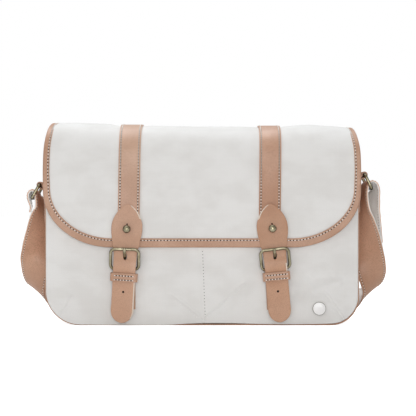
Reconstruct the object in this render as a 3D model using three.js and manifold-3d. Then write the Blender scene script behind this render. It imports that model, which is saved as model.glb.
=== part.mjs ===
// A flap-over shoulder bag of off-white canvas with natural leather trim and antique-brass fittings.
// Millimetres, +Z up. The origin is the centre of the flat base, the front faces -Y and +X is to the
// right as seen from the front. "Depth" below is the distance in front of the bag's middle, so -y.
import * as THREE from 'three';
import { mergeVertices } from 'three/addons/utils/BufferGeometryUtils.js';
import Module from 'manifold-3d';

const wasm = await Module();
wasm.setup();

// Thicknesses and clearances
const canvasWall = 2;
const leatherWall = 2;
const trimWall = 1.4;
const shoulderWall = 3;
const gap = 0.3;

// Body: two canvas faces and the leather gusset between them
const bodyHalfWidth = 196;
const bodyDepth = 100;
const bodyCorner = { left: 43, right: 34 };
const faceCrown = 5.5;
const frontTop = 215;
const backTop = 235;
const gussetTop = 200;
const gussetReveal = 1.5;
const gussetCrown = 0.5;

// Flap: its cross section from the seam on the back, over the top, to where the lower corners begin
const flapSections = [
  { half: 190, y: 53.2, z: 206 },
  { half: 190, y: 53.6, z: 232 },
  { half: 190.3, y: 47.5, z: 248 },
  { half: 191, y: 25, z: 254.4 },
  { half: 192.4, y: -16, z: 252.4 },
  { half: 194, y: -44, z: 242.6 },
  { half: 196.2, y: -55.5, z: 226 },
  { half: 197.3, y: -58.6, z: 200 },
  { half: 197.3, y: -59, z: 169.4 },
];
const flapCornerWidth = 85;
const flapCornerHeight = 69.6;
const bindingWidth = 9;
const bindingWall = 1.2;

// Straps on the flap, from the seam on the back to under the strap heads
const flapStrapWidth = 27.2;
const flapStrapFoot = 112;

// Closures: the angle of each strap, the buckle's own turn and where each piece sits
const closures = [
  { side: 'left', x: -93.6, z: 121.4, lean: 3.5, strapFootX: -91.8, strapTopX: -90,
    buckleX: -96.4, buckleTurn: 1.5, chapeX: -96.6, chapeTurn: 0, keeperX: -97.4, keeperZ: 61 },
  { side: 'right', x: 87.7, z: 122, lean: -5.2, strapFootX: 84.4, strapTopX: 85.6,
    buckleX: 91.2, buckleTurn: -6.5, chapeX: 92, chapeTurn: -3, keeperX: 92.9, keeperZ: 62.4 },
];

// Closing strap, from the tip of its head to the end of its tail. Rise is measured from the stud,
// and depth is that of the strap's back face.
const closingRows = [
  { rise: 31, half: 1.2, depth: 62.7 },
  { rise: 28, half: 6, depth: 62.7 },
  { rise: 23, half: 11, depth: 62.7 },
  { rise: 16, half: 15.6, depth: 62.7 },
  { rise: 8, half: 18.6, depth: 62.7 },
  { rise: 1, half: 19.3, depth: 62.7 },
  { rise: -7, half: 18.8, depth: 62.7 },
  { rise: -15, half: 17.2, depth: 62.7 },
  { rise: -23, half: 16, depth: 62.7 },
  { rise: -28, half: 14.7, depth: 62.7 },
  { rise: -35, half: 14.2, depth: 62.9 },
  { rise: -42, half: 14, depth: 64.3 },
  { rise: -50, half: 14, depth: 64.3 },
  { rise: -55, half: 14, depth: 63.3 },
  { rise: -61, half: 14, depth: 61.4 },
  { rise: -68, half: 14, depth: 59.8 },
  { rise: -78, half: 14, depth: 58.6 },
  { rise: -92, half: 14, depth: 57.6 },
  { rise: -104, half: 14, depth: 57.1 },
  { rise: -110, half: 12.2, depth: 56.9 },
  { rise: -114, half: 9, depth: 56.8 },
  { rise: -116.6, half: 5, depth: 56.7 },
  { rise: -117.8, half: 1.2, depth: 56.6 },
];
const closingWall = 2.2;
const prongHoleRise = -34.4;
const tailHoleRise = -78.9;
const tailHoleRadius = 2;
const headSlit = { width: 1.2, length: 6.4 };

// Ball stud through the head, the flap strap and the flap
const studHoleRadius = 2.4;
const studProfile = [
  { radius: 0, depth: 56.4 },
  { radius: 4.2, depth: 56.4 },
  { radius: 4.2, depth: 57.4 },
  { radius: 1.9, depth: 57.4 },
  { radius: 1.9, depth: 65.2 },
  { radius: 3.9, depth: 65.2 },
  { radius: 3.9, depth: 66.1 },
  { radius: 2.3, depth: 66.8 },
  { radius: 2.3, depth: 67.4 },
  { radius: 4.2, depth: 68.4 },
  { radius: 4.9, depth: 70.3 },
  { radius: 4.1, depth: 72.5 },
  { radius: 2.2, depth: 74 },
  { radius: 0, depth: 74.4 },
];

// Buckle: both bars' centres, the frame's centre-line width, and the prong's way from the lower bar,
// through the strap, to the front of the upper bar
const wireRadius = 1.85;
const upperBar = { depth: 67.9, z: 96.2 };
const lowerBar = { depth: 59.2, z: 71 };
const frameWidth = 35.3;
const frameCorner = 6;
const prongRadius = 1.1;
const prongLoopRadius = 3.3;
const prongPath = [
  { depth: 61, z: 75.5 },
  { depth: 61.1, z: 80 },
  { depth: 62.4, z: 84.2 },
  { depth: 65.8, z: 87.7 },
  { depth: 70.1, z: 92.5 },
  { depth: 71.5, z: 97.8 },
];

// Chape: the fixed strap that holds the lower bar, sewn to the front
const chapeWidth = 26.4;
const chapeFoot = 20.6;
const chapeLoopInner = 3;
const chapeLoopOuter = 4.6;
const chapeBack = [
  { depth: 52.9, z: chapeFoot },
  { depth: 54.7, z: 48 },
  { depth: 56.2, z: 55 },
  { depth: 56.2, z: 68 },
];
const chapeSlot = 4.4;

// Keeper: a leather loop round the tail and the chape
const keeperHalfWidth = 15.6;
const keeperHeight = 10.4;
const keeperBack = 55.7;
const keeperFront = 66.2;

// Side fittings: leather tab, brass ring and the fold of the shoulder strap, one entry for each side
const tabWidth = 34;
const tabLength = 48;
const tabLoopInner = 2.4;
const tabLoopOuter = 4.2;
const ringWire = 2;
const ringInnerLength = 40;
const sideFittings = [
  { side: 'left', sign: -1, upper: { x: 207.6, z: 177 }, lower: { x: 217.2, z: 160 } },
  { side: 'right', sign: 1, upper: { x: 207.6, z: 190 }, lower: { x: 216.4, z: 172.4 } },
];

// Shoulder strap. Each side runs from the free end of its fold, over the ring and down beside the bag,
// its front edge turning outwards by "twist" degrees. It then wraps round the bag's lower corner on a
// slanting turn and runs along behind the bag. x is measured outwards from the bag's middle.
const shoulderWidth = 38;
const shoulderRuns = {
  left: [
    { x: 221.8, y: 0.5, z: 143, twist: -7 },
    { x: 220.6, y: 0.3, z: 149, twist: -6 },
    { x: 222.1, y: 0, z: 155.5, twist: -3.5 },
    { x: 223.4, y: 0, z: 162, twist: -2 },
    { x: 221.6, y: 0, z: 167.8, twist: -1 },
    { x: 217.4, y: 0, z: 170.2, twist: 0 },
    { x: 213.2, y: 0, z: 167.4, twist: 1 },
    { x: 211.4, y: 0, z: 160, twist: 5 },
    { x: 210.3, y: 3, z: 150, twist: 13 },
    { x: 211.5, y: 5.3, z: 137, twist: 28.2 },
    { x: 214.1, y: 8.6, z: 121, twist: 37.2 },
    { x: 216.5, y: 12.3, z: 105, twist: 48 },
    { x: 217.3, y: 15.1, z: 90, twist: 64.8 },
    { x: 217.5, y: 16.3, z: 76.1, twist: 97 },
  ],
  right: [
    { x: 218.1, y: 16.8, z: 104, twist: 53 },
    { x: 217.7, y: 13.8, z: 121, twist: 46 },
    { x: 219, y: 8, z: 145, twist: 30 },
    { x: 222.3, y: 2.5, z: 162, twist: 16 },
    { x: 223.6, y: 0.3, z: 171.5, twist: 8 },
    { x: 221.2, y: 0, z: 178.7, twist: 7 },
    { x: 216.3, y: 0, z: 181.3, twist: 7 },
    { x: 211.5, y: 0, z: 178.7, twist: 7 },
    { x: 209, y: 0, z: 171.5, twist: 8 },
    { x: 208.2, y: 1.5, z: 161, twist: 11 },
    { x: 209.2, y: 6, z: 145, twist: 20 },
    { x: 211.4, y: 8, z: 131, twist: 33 },
    { x: 214, y: 10, z: 117, twist: 43.5 },
    { x: 216.4, y: 12, z: 101.4, twist: 54 },
    { x: 218.2, y: 14.5, z: 87, twist: 66.5 },
    { x: 219.7, y: 16.2, z: 74, twist: 83 },
  ],
};
const wrapRadius = 28;
const wrapStart = { left: { x: 223.7, y: 16.1, z: 85.3 }, right: { x: 226.8, y: 9.4, z: 84.6 } };
const backBow = 4;

// Round badge at the lower right of the front
const badge = { x: 147, z: 21.3, radius: 8.4, depth: 52.4, thickness: 1.8 };

// Finishes
const canvasCloth = { color: 0xdedbd6, roughness: 0.9, metalness: 0 };
const tanLeather = { color: 0xbc947a, roughness: 0.55, metalness: 0 };
const strapLeather = { color: 0xb48868, roughness: 0.55, metalness: 0 };
const antiqueBrass = { color: 0x827a5a, roughness: 0.35, metalness: 1 };
const whiteEnamel = { color: 0xf0efed, roughness: 0.3, metalness: 0 };

const radians = THREE.MathUtils.degToRad;
const vector = (x, y, z) => new THREE.Vector3(x, y, z);
const bag = new THREE.Group();

function addPiece(parent, name, geometry, finish) {
  const mesh = new THREE.Mesh(geometry, new THREE.MeshStandardMaterial(finish));
  mesh.name = name;
  parent.add(mesh);
  return mesh;
}

// A closed surface from points and triangles, turned so that its faces point outwards
function closedGeometry(points, triangles) {
  let volume = 0;
  for (const [a, b, c] of triangles) {
    volume += points[a].dot(vector(0, 0, 0).crossVectors(points[b], points[c]));
  }
  const faces = volume < 0 ? triangles.map(([a, b, c]) => [a, c, b]) : triangles;
  const geometry = new THREE.BufferGeometry();
  geometry.setAttribute('position', new THREE.Float32BufferAttribute(points.flatMap((p) => p.toArray()), 3));
  geometry.setIndex(faces.flat());
  return geometry;
}

const quad = (a, b, c, d) => [[a, b, c], [a, c, d]];

// A sheet with a thickness: two skins of columns by rows, given by point functions, and a rim
function sheetWall(columns, rows, outer, inner) {
  const points = [];
  for (const skin of [outer, inner]) {
    for (let j = 0; j <= rows; j++) {
      for (let i = 0; i <= columns; i++) points.push(skin(i, j));
    }
  }
  const skinSize = (columns + 1) * (rows + 1);
  const at = (skin, i, j) => skin * skinSize + j * (columns + 1) + i;
  const faces = [];
  for (let j = 0; j < rows; j++) {
    for (let i = 0; i < columns; i++) {
      faces.push(...quad(at(0, i, j), at(0, i + 1, j), at(0, i + 1, j + 1), at(0, i, j + 1)));
      faces.push(...quad(at(1, i, j), at(1, i, j + 1), at(1, i + 1, j + 1), at(1, i + 1, j)));
    }
  }
  for (let i = 0; i < columns; i++) {
    faces.push(...quad(at(0, i, 0), at(1, i, 0), at(1, i + 1, 0), at(0, i + 1, 0)));
    faces.push(...quad(at(0, i, rows), at(0, i + 1, rows), at(1, i + 1, rows), at(1, i, rows)));
  }
  for (let j = 0; j < rows; j++) {
    faces.push(...quad(at(0, 0, j), at(0, 0, j + 1), at(1, 0, j + 1), at(1, 0, j)));
    faces.push(...quad(at(0, columns, j), at(1, columns, j), at(1, columns, j + 1), at(0, columns, j + 1)));
  }
  return closedGeometry(points, faces);
}

// An outline, counter-clockwise, carried along frames of { origin, across, out }
function sweep(outline, frames, closedPath = false) {
  const count = outline.length;
  const points = frames.flatMap(({ origin, across, out }) =>
    outline.map(([u, v]) => origin.clone().addScaledVector(across, u).addScaledVector(out, v)));
  const faces = [];
  const spans = closedPath ? frames.length : frames.length - 1;
  for (let s = 0; s < spans; s++) {
    const next = (s + 1) % frames.length;
    for (let k = 0; k < count; k++) {
      const after = (k + 1) % count;
      faces.push(...quad(s * count + k, s * count + after, next * count + after, next * count + k));
    }
  }
  if (!closedPath) {
    const cap = THREE.ShapeUtils.triangulateShape(outline.map(([u, v]) => new THREE.Vector2(u, v)), []);
    const last = (frames.length - 1) * count;
    for (const [a, b, c] of cap) faces.push([c, b, a], [last + a, last + b, last + c]);
  }
  return closedGeometry(points, faces);
}

// Direction of a path at each of its points
function tangents(points, closedPath = false) {
  const last = points.length - 1;
  return points.map((point, k) => {
    const before = points[k > 0 ? k - 1 : closedPath ? last : 0];
    const after = points[k < last ? k + 1 : closedPath ? 0 : last];
    return after.clone().sub(before).normalize();
  });
}

function rectangle(width, thickness) {
  const u = width / 2;
  const v = thickness / 2;
  return [[-u, -v], [u, -v], [u, v], [-u, v]];
}

function circle(radius, sides) {
  return Array.from({ length: sides }, (_, k) => {
    const angle = (2 * Math.PI * k) / sides;
    return [radius * Math.cos(angle), radius * Math.sin(angle)];
  });
}

// A round wire along a path that lies in one plane
function wire(points, planeNormal, radius, sides, closedPath) {
  const directions = tangents(points, closedPath);
  const frames = points.map((origin, k) => ({
    origin,
    across: planeNormal,
    out: directions[k].clone().cross(planeNormal).normalize(),
  }));
  return sweep(circle(radius, sides), frames, closedPath);
}

function toSolid(geometry) {
  const bare = geometry.clone();
  bare.deleteAttribute('normal');
  bare.deleteAttribute('uv');
  const merged = mergeVertices(bare, 1e-4);
  return new wasm.Manifold(new wasm.Mesh({
    numProp: 3,
    vertProperties: new Float32Array(merged.attributes.position.array),
    triVerts: new Uint32Array(merged.index.array),
  }));
}

// A piece with holes: each cutter is a closed geometry in the piece's own place
function cut(geometry, cutters) {
  const result = cutters.reduce((body, cutter) => body.subtract(toSolid(cutter)), toSolid(geometry));
  const { vertProperties, triVerts } = result.getMesh();
  const drilled = new THREE.BufferGeometry();
  drilled.setAttribute('position', new THREE.Float32BufferAttribute(vertProperties, 3));
  drilled.setIndex(Array.from(triVerts));
  return drilled;
}

// A round hole along Y through depths from near to far
function hole(x, z, radius, near, far, stretch = 1) {
  const sides = 12;
  return new THREE.CylinderGeometry(radius, radius, far - near, sides)
    .scale(1, 1, stretch)
    .translate(x, -(near + far) / 2, z);
}

function box(width, depth, height, x, y, z) {
  return new THREE.BoxGeometry(width, depth, height).translate(x, y, z);
}

// Distance of a face's side edge from its middle, at a height above its foot
function sideAt(rise, corner) {
  const drop = Math.max(corner - rise, 0);
  return bodyHalfWidth - corner + Math.sqrt(corner ** 2 - drop ** 2);
}

// Body faces: rows follow the rounded lower corners, then go straight up
function faceRows(top) {
  const cornerSteps = 6;
  const straightSteps = 6;
  const largest = Math.max(bodyCorner.left, bodyCorner.right);
  const rises = [];
  for (let k = 0; k <= cornerSteps; k++) {
    rises.push(largest * (1 - Math.cos((Math.PI / 2) * (k / cornerSteps))));
  }
  const height = top - gussetReveal;
  for (let k = 1; k <= straightSteps; k++) rises.push(largest + (height - largest) * (k / straightSteps));
  return rises.map((rise) => ({
    left: -sideAt(rise, bodyCorner.left),
    right: sideAt(rise, bodyCorner.right),
    z: gussetReveal + rise,
  }));
}

// How far a face swells out at a place on it
function crownAt(x, z) {
  const crownTop = 212;
  const rise = Math.sin(Math.PI * Math.min(z / crownTop, 1));
  return faceCrown * (1 - (x / bodyHalfWidth) ** 2) * Math.max(rise, 0) ** 0.6;
}

function bodyFace(outward, top) {
  const columns = 16;
  const rows = faceRows(top);
  const skin = (offset) => (i, j) => {
    const { left, right, z } = rows[j];
    const x = left + (right - left) * (i / columns);
    return vector(x, outward * (bodyDepth / 2 + crownAt(x, z) - offset), z);
  };
  return sheetWall(columns, rows.length - 1, skin(0), skin(canvasWall));
}

// Stations of the gusset down one side and round its lower corner; "up" is the share of the straight side
function gussetSide(sign, corner) {
  const outerHalf = bodyHalfWidth + gussetReveal;
  const outerCorner = corner + gussetReveal;
  const sideSteps = 7;
  const cornerSteps = 7;
  const stations = [];
  for (let k = 0; k < sideSteps; k++) {
    const up = 1 - k / sideSteps;
    stations.push({ x: sign * outerHalf, z: outerCorner + (gussetTop - outerCorner) * up, outX: sign, outZ: 0, up });
  }
  for (let k = 0; k <= cornerSteps; k++) {
    const angle = (Math.PI / 2) * (k / cornerSteps);
    const outX = Math.cos(angle);
    const outZ = -Math.sin(angle);
    stations.push({
      x: sign * (outerHalf - outerCorner + outerCorner * outX),
      z: outerCorner + outerCorner * outZ,
      outX: sign * outX,
      outZ,
      up: 0,
    });
  }
  return stations;
}

// Gusset: a strip down one side, along the base and up the other side
function gussetGeometry() {
  const columns = 4;
  const halfDepth = bodyDepth / 2 - canvasWall - gap;
  const crownSpan = 0.9;
  const path = [...gussetSide(1, bodyCorner.right), ...gussetSide(-1, bodyCorner.left).reverse()];
  const skin = (offset) => (i, j) => {
    const { x, z, outX, outZ, up } = path[j];
    const across = (2 * i) / columns - 1;
    const swell = gussetCrown * (1 - across ** 2) * Math.sqrt(Math.sin(Math.PI * up * crownSpan));
    const reach = swell - offset;
    return vector(x + outX * reach, across * halfDepth, z + outZ * reach);
  };
  return sheetWall(columns, path.length - 1, skin(0), skin(leatherWall));
}

// Flap: rows of half width, middle of the cloth and outward direction
function flapRowList() {
  const upperSteps = 22;
  const cornerSteps = 9;
  const curve = new THREE.CatmullRomCurve3(flapSections.map((s) => vector(s.half, s.y, s.z)), false, 'centripetal');
  const rows = [];
  for (let k = 0; k < upperSteps; k++) {
    const point = curve.getPointAt(k / upperSteps);
    const along = curve.getTangentAt(k / upperSteps);
    rows.push({ half: point.x, y: point.y, z: point.z, out: vector(0, along.z, -along.y).normalize() });
  }
  const last = flapSections[flapSections.length - 1];
  for (let k = 0; k <= cornerSteps; k++) {
    const angle = (Math.PI / 2) * (k / cornerSteps);
    rows.push({
      half: last.half - flapCornerWidth * (1 - Math.cos(angle)),
      y: last.y,
      z: last.z - flapCornerHeight * Math.sin(angle),
      out: vector(0, -1, 0),
    });
  }
  return rows;
}

const flapRows = flapRowList();

function flapGeometry() {
  const columns = 10;
  const skin = (offset) => (i, j) => {
    const { half, y, z, out } = flapRows[j];
    return vector(half * ((2 * i) / columns - 1), y, z).addScaledVector(out, offset);
  };
  const sheet = sheetWall(columns, flapRows.length - 1, skin(canvasWall / 2), skin(-canvasWall / 2));
  return cut(sheet, closures.map(({ x, z }) => hole(x, z, studHoleRadius, 50, 66)));
}

// Binding: a folded leather strip round the flap's whole free edge
function bindingGeometry() {
  const foldReach = 1.6;
  const inside = canvasWall / 2 + gap;
  const outside = inside + bindingWall;
  const outline = [
    [bindingWidth, -outside], [bindingWidth, -inside], [-gap, -inside], [-gap, inside],
    [bindingWidth, inside], [bindingWidth, outside], [-foldReach / 2, outside], [-foldReach, inside],
    [-foldReach, -inside], [-foldReach / 2, -outside],
  ];
  const lowerEdgeSteps = 6;
  const edge = flapRows.map(({ half, y, z, out }) => ({ point: vector(-half, y, z), out }));
  const end = flapRows[flapRows.length - 1];
  for (let k = 1; k < lowerEdgeSteps; k++) {
    edge.push({ point: vector(end.half * ((2 * k) / lowerEdgeSteps - 1), end.y, end.z), out: end.out });
  }
  for (const { half, y, z, out } of [...flapRows].reverse()) edge.push({ point: vector(half, y, z), out });
  const directions = tangents(edge.map(({ point }) => point));
  const frames = edge.map(({ point, out }, k) => ({
    origin: point,
    across: out.clone().cross(directions[k]).normalize(),
    out,
  }));
  return sweep(outline, frames);
}

// Strap on the flap: follows the flap's outside and leans to one side on its way up the front
function flapStrapGeometry({ x, z, strapFootX, strapTopX }) {
  const lift = canvasWall / 2 + gap + leatherWall / 2;
  const top = 245;
  const stations = flapRows.filter((row) => row.y > 0 || row.z > flapStrapFoot);
  stations.push({ ...flapRows[flapRows.length - 1], z: flapStrapFoot });
  const frames = stations.map(({ y, z: height, out }) => {
    const up = y > 0 ? 1 : THREE.MathUtils.clamp((height - flapStrapFoot) / (top - flapStrapFoot), 0, 1);
    const centre = strapFootX + (strapTopX - strapFootX) * up;
    return { origin: vector(centre, y, height).addScaledVector(out, lift), across: vector(1, 0, 0), out };
  });
  return cut(sweep(rectangle(flapStrapWidth, leatherWall), frames), [hole(x, z, studHoleRadius, 55, 66)]);
}

// Closing strap, with the stud at its origin: head, neck and tail in one piece of leather
function closingStrapGeometry() {
  const columns = 2;
  const skin = (offset) => (i, j) => {
    const { rise, half, depth } = closingRows[j];
    return vector(half * ((2 * i) / columns - 1), -(depth + offset), rise);
  };
  const near = 50;
  const far = 75;
  const prongHoleStretch = 2.2;
  return cut(sheetWall(columns, closingRows.length - 1, skin(closingWall), skin(0)), [
    hole(0, 0, studHoleRadius, near, far),
    box(headSlit.width, far - near, headSlit.length, 0, -(near + far) / 2, headSlit.length / 2),
    hole(0, prongHoleRise, tailHoleRadius, near, far, prongHoleStretch),
    hole(0, tailHoleRise, tailHoleRadius, near, far),
  ]);
}

function studGeometry() {
  const sides = 14;
  const profile = studProfile.map((p) => new THREE.Vector2(p.radius, -p.depth));
  return new THREE.LatheGeometry(profile.reverse(), sides);
}

// A closed loop of points on a rectangle with round corners, in the XZ plane
function roundedLoop(width, height, corner, cornerSteps) {
  const points = [];
  const centres = [[1, 1], [-1, 1], [-1, -1], [1, -1]];
  centres.forEach(([signX, signZ], quarter) => {
    for (let k = 0; k <= cornerSteps; k++) {
      const angle = (Math.PI / 2) * (quarter + k / cornerSteps);
      points.push(vector(
        signX * (width / 2 - corner) + corner * Math.cos(angle),
        0,
        signZ * (height / 2 - corner) + corner * Math.sin(angle),
      ));
    }
  });
  return points;
}

function buckleFrameGeometry() {
  const height = Math.hypot(upperBar.depth - lowerBar.depth, upperBar.z - lowerBar.z);
  return wire(roundedLoop(frameWidth, height, frameCorner, 4), vector(0, 1, 0), wireRadius, 8, true);
}

// Prong: a wire bent once round the lower bar, then up through the strap to the upper bar
function prongGeometry() {
  const turns = 9;
  const firstAngle = 20;
  const lastAngle = -280;
  const points = [];
  for (let k = 0; k <= turns; k++) {
    const angle = radians(firstAngle + (lastAngle - firstAngle) * (k / turns));
    points.push(vector(
      0,
      -(lowerBar.depth + prongLoopRadius * Math.cos(angle)),
      lowerBar.z + prongLoopRadius * Math.sin(angle),
    ));
  }
  const rising = prongPath.map(({ depth, z }) => vector(0, -depth, z));
  const risingSteps = 10;
  const curve = new THREE.CatmullRomCurve3(rising, false, 'centripetal');
  points.push(...curve.getSpacedPoints(risingSteps));
  return wire(points, vector(1, 0, 0), prongRadius, 6, false);
}

// Leather strap end folded into a loop round a bar. The profile is drawn as (depth, height), and the
// strap hangs down from the loop; back is its rear face from the foot up to under the loop.
function loopedStrap(width, wall, back, bar, inner, outer) {
  const leaveAngle = radians(190);
  const returnAngle = radians(-75);
  const front = back.slice(0, -1).reverse().map(({ depth, z }) => new THREE.Vector2(depth + wall, z));
  const profile = new THREE.Shape();
  profile.moveTo(back[0].depth, back[0].z);
  for (const { depth, z } of back.slice(1)) profile.lineTo(depth, z);
  profile.lineTo(bar.depth + outer * Math.cos(leaveAngle), bar.z + outer * Math.sin(leaveAngle));
  profile.absarc(bar.depth, bar.z, outer, leaveAngle, returnAngle, true);
  for (const point of front) profile.lineTo(point.x, point.y);
  const eye = new THREE.Path();
  eye.absarc(bar.depth, bar.z, inner, 0, 2 * Math.PI, false);
  profile.holes.push(eye);
  const geometry = new THREE.ExtrudeGeometry(profile, { depth: width, bevelEnabled: false, curveSegments: 8 });
  geometry.translate(0, 0, -width / 2);
  return geometry;
}

// Turns a profile drawn as (depth, height, across) to stand with its depth towards -Y
function faceFront(geometry) {
  return geometry.applyMatrix4(new THREE.Matrix4().set(
    0, 0, -1, 0,
    -1, 0, 0, 0,
    0, 1, 0, 0,
    0, 0, 0, 1,
  ));
}

// Turns a profile drawn as (depth, height, across) to stand with its depth towards +X or -X
function faceSide(geometry, sign) {
  return geometry.applyMatrix4(new THREE.Matrix4().set(
    sign, 0, 0, 0,
    0, 0, -sign, 0,
    0, 1, 0, 0,
    0, 0, 0, 1,
  ));
}

function chapeGeometry() {
  const strap = faceFront(loopedStrap(
    chapeWidth, leatherWall, chapeBack, lowerBar, chapeLoopInner, chapeLoopOuter,
  ));
  const slotFoot = 66.1;
  const slotHead = 80;
  return cut(strap, [
    box(chapeSlot, 14, slotHead - slotFoot, 0, -60, (slotHead + slotFoot) / 2),
  ]);
}

function keeperGeometry() {
  const halfDepth = (keeperFront - keeperBack) / 2;
  const middle = (keeperFront + keeperBack) / 2;
  const corner = 2;
  const loop = roundedLoop(2 * keeperHalfWidth + trimWall, 2 * halfDepth + trimWall, corner, 3);
  const path = loop.map((p) => vector(p.x, -(middle + p.z), 0));
  const up = vector(0, 0, 1);
  const directions = tangents(path, true);
  const frames = path.map((origin, k) => ({ origin, across: up, out: directions[k].clone().cross(up) }));
  return sweep(rectangle(keeperHeight, trimWall), frames, true);
}

// Ring tab: sewn flat to the gusset, with its loop at the top
function tabGeometry({ sign, upper }) {
  const face = bodyHalfWidth + gussetReveal + gussetCrown + 2 * gap;
  const loopDrop = 8;
  const neckDrop = 6;
  const back = [
    { depth: face, z: upper.z - tabLength },
    { depth: face, z: upper.z - loopDrop },
    { depth: face + gap, z: upper.z - neckDrop },
  ];
  const bar = { depth: upper.x, z: upper.z };
  return faceSide(loopedStrap(tabWidth, leatherWall, back, bar, tabLoopInner, tabLoopOuter), sign);
}

function sideRingGeometry({ sign, upper, lower }) {
  const height = Math.hypot(upper.x - lower.x, upper.z - lower.z);
  const lean = Math.atan2(lower.x - upper.x, upper.z - lower.z);
  const corner = 5;
  const loop = roundedLoop(ringInnerLength + 2 * ringWire, height, corner, 4);
  return wire(loop, vector(0, 1, 0), ringWire, 8, true)
    .rotateZ(Math.PI / 2)
    .rotateY(-sign * lean)
    .translate(sign * (upper.x + lower.x) / 2, 0, (upper.z + lower.z) / 2);
}

// Shoulder strap: stations with a place and the direction across the strap, from the left fold round
// behind the bag to the right fold
function shoulderStations(side, sign) {
  const run = shoulderRuns[side].map(({ x, y, z, twist }) => ({
    place: vector(sign * x, y, z),
    across: vector(sign * Math.sin(radians(twist)), -Math.cos(radians(twist)), 0),
  }));
  const slant = Math.SQRT1_2;
  const wrapSteps = 5;
  const firstTurn = radians(66);
  const { x, y, z } = wrapStart[side];
  for (let k = 0; k <= wrapSteps; k++) {
    const turn = firstTurn + (Math.PI - firstTurn) * (k / wrapSteps);
    const along = wrapRadius * turn;
    const outward = wrapRadius * Math.sin(turn);
    const backward = wrapRadius * (1 - Math.cos(turn));
    run.push({
      place: vector(
        sign * (x - slant * (along - outward)), y + backward, z - slant * (along + outward),
      ),
      across: vector(
        sign * (1 + Math.cos(turn)) / 2, Math.sin(turn) * slant, (1 - Math.cos(turn)) / 2,
      ),
    });
  }
  return run;
}

function shoulderStrapGeometry() {
  const left = shoulderStations('left', -1);
  const right = shoulderStations('right', 1).reverse();
  const leftEnd = left[left.length - 1];
  const rightEnd = right[0];
  const middle = {
    place: leftEnd.place.clone().lerp(rightEnd.place, 0.5).add(vector(0, backBow, 0)),
    across: vector(0, 0, 1),
  };
  const stations = [...left, middle, ...right];
  const steps = 110;
  const spine = new THREE.CatmullRomCurve3(stations.map((s) => s.place), false, 'centripetal');
  const lean = new THREE.CatmullRomCurve3(stations.map((s) => s.across), false, 'catmullrom', 0.5);
  const points = [];
  const sides = [];
  for (let k = 0; k <= steps; k++) {
    const t = spine.getUtoTmapping(k / steps);
    points.push(spine.getPoint(t));
    sides.push(lean.getPoint(t).normalize());
  }
  const directions = tangents(points);
  const frames = points.map((origin, k) => {
    const out = directions[k].clone().cross(sides[k]).normalize();
    return { origin, across: out.clone().cross(directions[k]).normalize(), out };
  });
  return sweep(rectangle(shoulderWidth, shoulderWall), frames);
}

function badgeGeometry() {
  const { radius, thickness } = badge;
  const edge = 0.6;
  const profile = [[0, 0], [radius, 0], [radius, edge], [radius - edge, thickness], [0, thickness]];
  return new THREE.LatheGeometry(profile.map(([r, h]) => new THREE.Vector2(r, h)), 20);
}

// Assembly
addPiece(bag, 'front_panel', bodyFace(-1, frontTop), canvasCloth);
addPiece(bag, 'back_panel', bodyFace(1, backTop), canvasCloth);
addPiece(bag, 'gusset', gussetGeometry(), tanLeather);
addPiece(bag, 'flap', flapGeometry(), canvasCloth);
addPiece(bag, 'flap_binding', bindingGeometry(), tanLeather);

for (const closure of closures) {
  const { side, x, z, lean, buckleX, buckleTurn, chapeX, chapeTurn, keeperX, keeperZ } = closure;
  addPiece(bag, `flap_strap_${side}`, flapStrapGeometry(closure), tanLeather);

  const strapGroup = new THREE.Group();
  strapGroup.position.set(x, 0, z);
  strapGroup.rotation.y = radians(lean);
  bag.add(strapGroup);
  addPiece(strapGroup, `closing_strap_${side}`, closingStrapGeometry(), tanLeather);
  addPiece(strapGroup, `stud_${side}`, studGeometry(), antiqueBrass);

  const keeper = addPiece(bag, `strap_keeper_${side}`, keeperGeometry(), tanLeather);
  keeper.position.set(keeperX, 0, keeperZ);
  keeper.rotation.y = radians(lean);

  // The buckle turns about the middle of its frame
  const buckleMiddle = (upperBar.z + lowerBar.z) / 2;
  const buckleGroup = new THREE.Group();
  buckleGroup.position.set(buckleX, 0, buckleMiddle);
  buckleGroup.rotation.y = radians(buckleTurn);
  bag.add(buckleGroup);
  const frame = addPiece(buckleGroup, `buckle_frame_${side}`, buckleFrameGeometry(), antiqueBrass);
  frame.position.y = -(upperBar.depth + lowerBar.depth) / 2;
  frame.rotation.x = Math.atan2(upperBar.depth - lowerBar.depth, upperBar.z - lowerBar.z);
  const prong = addPiece(buckleGroup, `buckle_prong_${side}`, prongGeometry(), antiqueBrass);
  prong.position.z = -buckleMiddle;

  const chapeGroup = new THREE.Group();
  chapeGroup.position.set(chapeX, 0, lowerBar.z);
  chapeGroup.rotation.y = radians(chapeTurn);
  bag.add(chapeGroup);
  const chape = addPiece(chapeGroup, `buckle_chape_${side}`, chapeGeometry(), tanLeather);
  chape.position.z = -lowerBar.z;
}

for (const fitting of sideFittings) {
  addPiece(bag, `ring_tab_${fitting.side}`, tabGeometry(fitting), tanLeather);
  addPiece(bag, `side_ring_${fitting.side}`, sideRingGeometry(fitting), antiqueBrass);
}
addPiece(bag, 'shoulder_strap', shoulderStrapGeometry(), strapLeather);

const badgeMesh = addPiece(bag, 'round_badge', badgeGeometry(), whiteEnamel);
badgeMesh.position.set(badge.x, -badge.depth, badge.z);
badgeMesh.rotation.x = Math.PI;

export default bag;
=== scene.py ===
from math import pi, radians

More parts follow.
